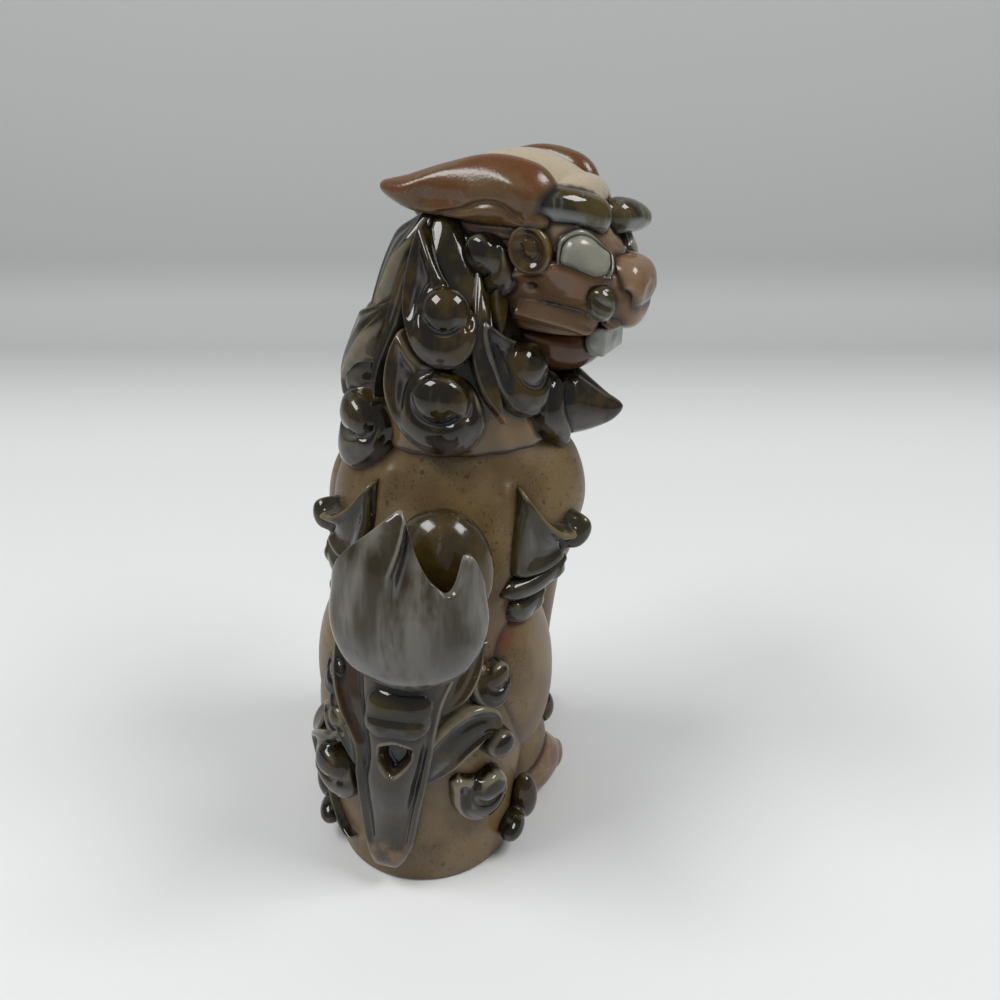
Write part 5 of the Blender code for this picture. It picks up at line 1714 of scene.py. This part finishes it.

# %% Glaze that breaks over ridges and pools in hollows, and painted light on faces that look down
breaks_and_underside, given, result = new_group(
    "glaze_breaks_and_underside_light",
    ("Colour", "Thin Colour", "Milk And Underside Light Colour", "Pool Colour", "Thin", "Milk And Underside Light", "Pool"),
    ("Colour",))
deep = measured(breaks_and_underside, "pool")
# Faces that look down take the milk colour too. This is painted light: a pale painted reflection
# of the table on the dark glazes, and painted shade on the buff and the face.
painted_underside_light = ramp(breaks_and_underside, one_axis(breaks_and_underside, "ShaderNodeNewGeometry", "Normal", "Z"),
                   0.10, -0.45)
milky_hollows_and_underside = calculate(breaks_and_underside, "MAXIMUM", ramp(breaks_and_underside, deep, 0.57, 0.80), painted_underside_light)
patches = ramp(breaks_and_underside, noise(breaks_and_underside, 110, 2.0), 0.36, 0.56)
pooled = calculate(breaks_and_underside, "MAXIMUM", ramp(breaks_and_underside, deep, 0.80, 1.02),
                   ramp(breaks_and_underside, measured(breaks_and_underside, "seam"), 0.50, 0.95))
ridges = ramp(breaks_and_underside, measured(breaks_and_underside, "thin"), 0.32, 0.9)
uneven = calculate(breaks_and_underside, "MULTIPLY_ADD", noise(breaks_and_underside, 330), 0.9, 0.45)
coloured = given["Colour"]
# The milk mask is milky glaze in the hollows and painted light on the faces that look down.
for effect, mask in (("Milk And Underside Light", calculate(breaks_and_underside, "MULTIPLY", milky_hollows_and_underside, patches)),
                     ("Pool", pooled),
                     ("Thin", calculate(breaks_and_underside, "MULTIPLY", ridges, uneven))):
    mask = calculate(breaks_and_underside, "MULTIPLY", mask, given[effect], clamp=True)
    coloured = mix_colour(breaks_and_underside, mask, coloured, given[effect + " Colour"])
plug(breaks_and_underside, coloured, result["Colour"])
print("nodes for the breaking glaze:", len(breaks_and_underside.nodes))

# %% A second glaze poured down to a level
pouring, given, result = new_group(
    "poured_level", ("Colour", "Poured Colour", "From", "To", "Ragged"), ("Colour",))
ragged = calculate(pouring, "SUBTRACT", noise(pouring, 170), 0.5)
ragged = calculate(pouring, "MULTIPLY", ragged, given["Ragged"])
height = calculate(pouring, "ADD", one_axis(pouring, "ShaderNodeTexCoord", "Object", "Z"),
                   ragged)
reached = ramp(pouring, height, given["From"], given["To"])
plug(pouring, mix_colour(pouring, reached, given["Colour"], given["Poured Colour"]),
     result["Colour"])
for group in (specks, streaks, breaks_and_underside, pouring):
    spread_out(group)
print("node groups:", len(bpy.data.node_groups))

# %% A patch of rust on the haunch
RUST, RUST_REACH = (0.135, 0.042, 0.012), 4.5 * MM
RUST_PLACES = [to_vector((BODY.skin_point(height, bearing) + DOG_TO_ROW) * MM)
               for height, bearing in ((82.3, -115), (80.2, -119), (78.1, -122), (75.6, -124),
                                       (73.2, -125))]


def near_places(tree, places, reach):
    """A soft ragged mask round some places on the dog."""
    here, mask = add_node(tree, "ShaderNodeTexCoord"), None
    for place in places:
        gap = add_node(tree, "ShaderNodeVectorMath", operation="DISTANCE")
        tree.links.new(here.outputs["Object"], gap.inputs[0])
        gap.inputs[1].default_value = place
        near = ramp(tree, gap.outputs["Value"], reach, reach * 0.45)
        mask = calculate(tree, "MAXIMUM", near, mask) if mask else near
    return calculate(tree, "MULTIPLY", mask, ramp(tree, noise(tree, 300), 0.36, 0.56))


print("rust patch about", round(2 * RUST_REACH / MM), "mm wide")

# %% One function for every glaze
RAGGED_POUR = 20 * MM


def new_glaze(name, base, second, patch_scale, roughness, thin=None, milk_and_underside_light=None, pool=None,
              streak=None, speck=None, poured=None, patch=(0.42, 0.6), drawn=(1, 1, 1),
              grain=0.05, rust_at=()):
    """A glaze of two clouded colours. Each effect on it is (colour, amount), and a poured
    glaze is (colour, height in mm where it starts, height where it is full)."""
    material = bpy.data.materials.new(name)
    material.use_nodes = True
    tree = material.node_tree
    shader = tree.nodes["Principled BSDF"]
    clouds = ramp(tree, noise(tree, patch_scale, stretch=drawn), *patch)
    colour = mix_colour(tree, clouds, base, second)
    if rust_at:
        colour = mix_colour(tree, near_places(tree, rust_at, RUST_REACH), colour, RUST)
    if poured:
        colour = place_group(tree, pouring, {
            "Colour": colour, "Poured Colour": poured[0], "From": poured[1] * MM,
            "To": poured[2] * MM, "Ragged": RAGGED_POUR})["Colour"]
    if streak:
        colour = place_group(tree, streaks, {
            "Colour": colour, "Streak Colour": streak[0], "Amount": streak[1]})["Colour"]
    if speck:
        speckled = place_group(tree, specks, {
            "Colour": colour, "Speck Colour": speck[0], "Amount": speck[1]})
        colour, height = speckled["Colour"], speckled["Height"]
    else:
        height = noise(tree, 260, 2.0)
    values = {"Colour": colour}
    for label, effect in (("Thin", thin), ("Milk And Underside Light", milk_and_underside_light), ("Pool", pool)):
        values[label + " Colour"], values[label] = effect or (base, 0.0)
    plug(tree, place_group(tree, breaks_and_underside, values)["Colour"], shader.inputs["Base Color"])
    shader.inputs["Roughness"].default_value = roughness
    bump = add_node(tree, "ShaderNodeBump")
    bump.inputs["Distance"].default_value = MM
    bump.inputs["Strength"].default_value = grain
    plug(tree, height, bump.inputs["Height"])
    plug(tree, bump.outputs["Normal"], shader.inputs["Normal"])
    spread_out(tree)
    return material


print("a poured edge wanders up to", round(RAGGED_POUR / MM / 2), "mm up or down")

# %% Glazes of the body and the face
BLACK_POOL, PALE_RIM = (0.006, 0.007, 0.008), (0.20, 0.175, 0.115)
# MILK_AND_UNDERSIDE_LIGHT is milky glaze in the hollows, and on faces that look down a painted
# reflection of the pale table.
MILK_AND_UNDERSIDE_LIGHT, OLIVE_STREAK = (0.080, 0.070, 0.066), (0.085, 0.068, 0.040)
body_glazes = [
    # The buff's darker milk colour is thicker glaze in the hollows, and painted shade on faces
    # that look down.
    new_glaze("buff_ash", (0.160, 0.106, 0.042), (0.108, 0.064, 0.022), 45, 0.36,
              thin=((0.24, 0.19, 0.12), 0.5), milk_and_underside_light=((0.115, 0.050, 0.018), 0.7),
              pool=((0.045, 0.022, 0.010), 0.75), speck=((0.034, 0.019, 0.008), 0.9),
              rust_at=RUST_PLACES),
    new_glaze("paw_iron", (0.20, 0.140, 0.082), (0.15, 0.068, 0.034), 80, 0.26,
              thin=((0.26, 0.19, 0.13), 0.6), pool=((0.035, 0.016, 0.009), 0.9),
              speck=((0.05, 0.025, 0.012), 0.5)),
    # The face's greyer, darker milk colour is painted shade on faces that look down. The pale
    # colour poured over the crown is partly the buff of the skull and partly a painted highlight
    # on the top of the head.
    new_glaze("face_iron", (0.185, 0.078, 0.024), (0.150, 0.088, 0.044), 95, 0.15,
              poured=((0.38, 0.31, 0.215), 177, 189), thin=((0.22, 0.15, 0.10), 0.8),
              milk_and_underside_light=((0.105, 0.066, 0.048), 0.45), pool=((0.022, 0.010, 0.006), 0.9),
              speck=((0.05, 0.02, 0.008), 0.25)),
    new_glaze("nose_iron", (0.20, 0.125, 0.070), (0.17, 0.088, 0.040), 70, 0.16,
              thin=((0.34, 0.26, 0.19), 0.9), pool=((0.035, 0.014, 0.008), 0.9)),
    new_glaze("ear_iron", (0.105, 0.038, 0.010), (0.105, 0.058, 0.022), 85, 0.22,
              thin=((0.24, 0.15, 0.085), 0.6), pool=((0.020, 0.012, 0.010), 0.9),
              speck=((0.20, 0.13, 0.07), 0.35), grain=0.07),
    new_glaze("jaw_iron", (0.080, 0.036, 0.018), (0.070, 0.026, 0.008), 100, 0.14,
              thin=((0.20, 0.13, 0.09), 0.8), pool=((0.015, 0.008, 0.006), 0.9)),
    # The brow's pale blue-grey milk colour is mostly a painted reflection of the table on its
    # underside.
    new_glaze("brow_iron", (0.062, 0.043, 0.009), (0.022, 0.017, 0.006), 110, 0.05,
              thin=((0.30, 0.29, 0.22), 0.5), milk_and_underside_light=((0.20, 0.22, 0.21), 0.9),
              pool=(BLACK_POOL, 1.0), streak=((0.10, 0.12, 0.12), 0.6)),
    new_glaze("bump_iron", (0.036, 0.028, 0.006), (0.022, 0.016, 0.004), 160, 0.08,
              thin=((0.22, 0.21, 0.14), 0.8), milk_and_underside_light=((0.16, 0.165, 0.15), 0.7),
              pool=(BLACK_POOL, 1.0)),
    new_glaze("lid_ash", (0.060, 0.052, 0.036), (0.035, 0.034, 0.024), 150, 0.10,
              thin=((0.34, 0.34, 0.28), 0.9), pool=((0.018, 0.018, 0.014), 1.0)),
    new_glaze("eye_celadon", (0.235, 0.225, 0.175), (0.19, 0.19, 0.155), 130, 0.2,
              thin=((0.36, 0.36, 0.30), 0.6), pool=((0.03, 0.03, 0.024), 0.5)),
    new_glaze("tooth_celadon", (0.27, 0.285, 0.245), (0.22, 0.23, 0.195), 120, 0.12,
              thin=((0.5, 0.5, 0.45), 0.5), pool=((0.10, 0.09, 0.07), 0.8)),
    new_glaze("amber_iron", (0.075, 0.042, 0.008), (0.045, 0.024, 0.005), 140, 0.10,
              thin=((0.17, 0.12, 0.045), 0.8), milk_and_underside_light=((0.14, 0.14, 0.11), 0.3),
              pool=((0.020, 0.008, 0.003), 1.0)),
]
print("glazes of the body and the face:", len(body_glazes))

# %% Glazes of the hair and the tail
# The pale milk colours of the hair and the tail are milky glaze in the hollows and a painted
# reflection of the table on faces that look down.
hair_glazes = [
    new_glaze("olive_iron", (0.010, 0.007, 0.002), (0.038, 0.023, 0.004), 95, 0.06,
              patch=(0.45, 0.60), thin=(PALE_RIM, 0.9), milk_and_underside_light=(MILK_AND_UNDERSIDE_LIGHT, 1.0),
              pool=(BLACK_POOL, 1.0), streak=(OLIVE_STREAK, 0.3)),
    new_glaze("collar_iron", (0.013, 0.009, 0.003), (0.042, 0.027, 0.006), 95, 0.08,
              patch=(0.45, 0.60), poured=((0.160, 0.100, 0.038), 138, 135),
              thin=(PALE_RIM, 0.9), milk_and_underside_light=(MILK_AND_UNDERSIDE_LIGHT, 0.7), pool=(BLACK_POOL, 0.8),
              streak=(OLIVE_STREAK, 0.3)),
    new_glaze("wing_iron", (0.022, 0.018, 0.008), (0.040, 0.032, 0.016), 70, 0.08,
              thin=((0.17, 0.125, 0.045), 0.9), milk_and_underside_light=((0.082, 0.078, 0.074), 1.0),
              pool=(BLACK_POOL, 0.9)),
    new_glaze("knob_iron", (0.045, 0.032, 0.006), (0.026, 0.018, 0.005), 110, 0.06,
              poured=((0.085, 0.075, 0.060), 60.5, 56.5), thin=((0.20, 0.18, 0.10), 0.5),
              pool=(BLACK_POOL, 0.9)),
    new_glaze("lobe_iron", (0.060, 0.038, 0.006), (0.032, 0.021, 0.007), 75, 0.16,
              thin=((0.2, 0.16, 0.08), 0.5), pool=((0.025, 0.015, 0.008), 0.9),
              streak=((0.11, 0.09, 0.06), 0.6)),
    new_glaze("milky_ash", (0.030, 0.022, 0.009), (0.145, 0.133, 0.114), 120, 0.10,
              patch=(0.38, 0.68), drawn=(1, 1, 0.22), thin=((0.22, 0.21, 0.18), 0.8),
              milk_and_underside_light=((0.14, 0.14, 0.135), 0.7), pool=((0.018, 0.012, 0.006), 1.0),
              streak=((0.050, 0.042, 0.026), 0.8)),
    new_glaze("stem_ash", (0.040, 0.025, 0.011), (0.024, 0.017, 0.009), 75, 0.08,
              poured=((0.170, 0.108, 0.060), 17, 9), thin=((0.19, 0.165, 0.12), 0.8),
              milk_and_underside_light=((0.060, 0.064, 0.070), 0.5), pool=(BLACK_POOL, 0.9),
              streak=((0.07, 0.05, 0.025), 0.4)),
]
GLAZES = {glaze.name: glaze for glaze in body_glazes + hair_glazes}
for thing, glaze in pieces:
    thing.data.materials.clear()
    thing.data.materials.append(GLAZES[glaze])
print("glazes:", len(GLAZES))

# %% [markdown]
# ## Camera, table and light
#
# The figure stands on a pale table before a grey wall. Soft light falls on it from a window
# at the upper left, and from a weaker one at the right. One sheet makes the table and the
# wall, with a rounded bend between them. The surroundings darken with the distance, so the
# sheet is painted darker behind the dog: painted shade where the light falls off. The camera
# looks down at the dog's back from the real angle.

# %% Camera
scene = bpy.context.scene
scene.view_settings.view_transform = "Standard"
CAMERA_PLACE = np.array((-255.5, -56.7, 222.0))
CAMERA_BEARING, CAMERA_PITCH, LENS, SENSOR = 8.0, 24.4, 36.0, 36.0


def look_from(place, forward):
    forward = Vector(forward).normalized()
    right = forward.cross(Vector((0, 0, 1))).normalized()
    turned = Matrix((right, right.cross(forward), -forward)).transposed().to_4x4()
    turned.translation = Vector(place)
    return turned


camera_data = bpy.data.cameras.new("camera")
camera_data.lens = LENS
camera_data.sensor_width = SENSOR
camera_data.clip_start = 0.01
camera = bpy.data.objects.new("camera", camera_data)
scene.collection.objects.link(camera)
bearing, pitch = math.radians(CAMERA_BEARING), math.radians(CAMERA_PITCH)
camera.matrix_world = look_from(
    (CAMERA_PLACE + DOG_TO_ROW) * MM,
    (math.cos(bearing) * math.cos(pitch), math.sin(bearing) * math.cos(pitch),
     -math.sin(pitch)))
scene.camera = camera
print("camera at", [round(value, 3) for value in camera.matrix_world.translation])

# %% Table and wall
TABLE_REACH, TABLE_HALF_WIDTH, WALL_DISTANCE, WALL_HEIGHT, BEND = 1.8, 2.6, 0.59, 2.4, 0.06
# Between these distances the sheet goes from the table colour to a darker grey: partly the wall's
# grey, partly painted shade where the light falls off.
TABLE_COLOUR, WALL_GREY_AND_SHADE = (0.74, 0.745, 0.74), (0.45, 0.46, 0.455)
DARKENS_FROM, DARKENS_TO = 0.30, 0.60


def sheet_profile():
    """The sheet's section, as (distance behind the dog, height)."""
    turns = [math.pi / 2 * k / 12 for k in range(1, 13)]
    bend = [(WALL_DISTANCE - BEND + BEND * math.sin(turn), BEND * (1 - math.cos(turn)))
            for turn in turns]
    return [(-TABLE_REACH, 0.0), (WALL_DISTANCE - BEND, 0.0), *bend,
            (WALL_DISTANCE, WALL_HEIGHT)]


def table_paint():
    """A matt paint that darkens with the distance: painted shade where the light falls off."""
    paint = bpy.data.materials.new("table_paint")
    paint.use_nodes = True
    tree = paint.node_tree
    distance = one_axis(tree, "ShaderNodeTexCoord", "Object", "X")
    shade = ramp(tree, distance, DARKENS_FROM, DARKENS_TO)
    shader = tree.nodes["Principled BSDF"]
    plug(tree, mix_colour(tree, shade, TABLE_COLOUR, WALL_GREY_AND_SHADE), shader.inputs["Base Color"])
    shader.inputs["Roughness"].default_value = 0.6
    spread_out(tree)
    return paint


profile = sheet_profile()
mesh = bpy.data.meshes.new("table")
mesh.from_pydata([(x, y, z) for x, z in profile for y in (-TABLE_HALF_WIDTH, TABLE_HALF_WIDTH)],
                 [], [(2 * k, 2 * k + 1, 2 * k + 3, 2 * k + 2) for k in range(len(profile) - 1)])
mesh.shade_smooth()
mesh.materials.append(table_paint())
table = bpy.data.objects.new("table", mesh)
table.rotation_euler = (0, 0, bearing)
scene.collection.objects.link(table)
print("the wall is", WALL_DISTANCE, "m behind the dog")

# %% Light
world = bpy.data.worlds.new("studio")
scene.world = world
world.use_nodes = True
room = world.node_tree.nodes["Background"]
room.inputs["Color"].default_value = (0.78, 0.81, 0.84, 1)
room.inputs["Strength"].default_value = 0.35


def softbox(name, place, size, power):
    """A soft window of light that faces the dog, in metres and watts."""
    data = bpy.data.lights.new(name, "AREA")
    data.shape = "RECTANGLE"
    data.size, data.size_y = size
    data.energy = power
    lamp = bpy.data.objects.new(name, data)
    scene.collection.objects.link(lamp)
    lamp.matrix_world = look_from(place, Vector((0, 0, 0.12)) - Vector(place))


softbox("window", (-0.35, 0.62, 1.10), (0.70, 0.42), 9.6)
softbox("second_window", (-0.10, -0.72, 1.05), (0.55, 0.40), 7.6)
print("lamps:", len(bpy.data.lights))
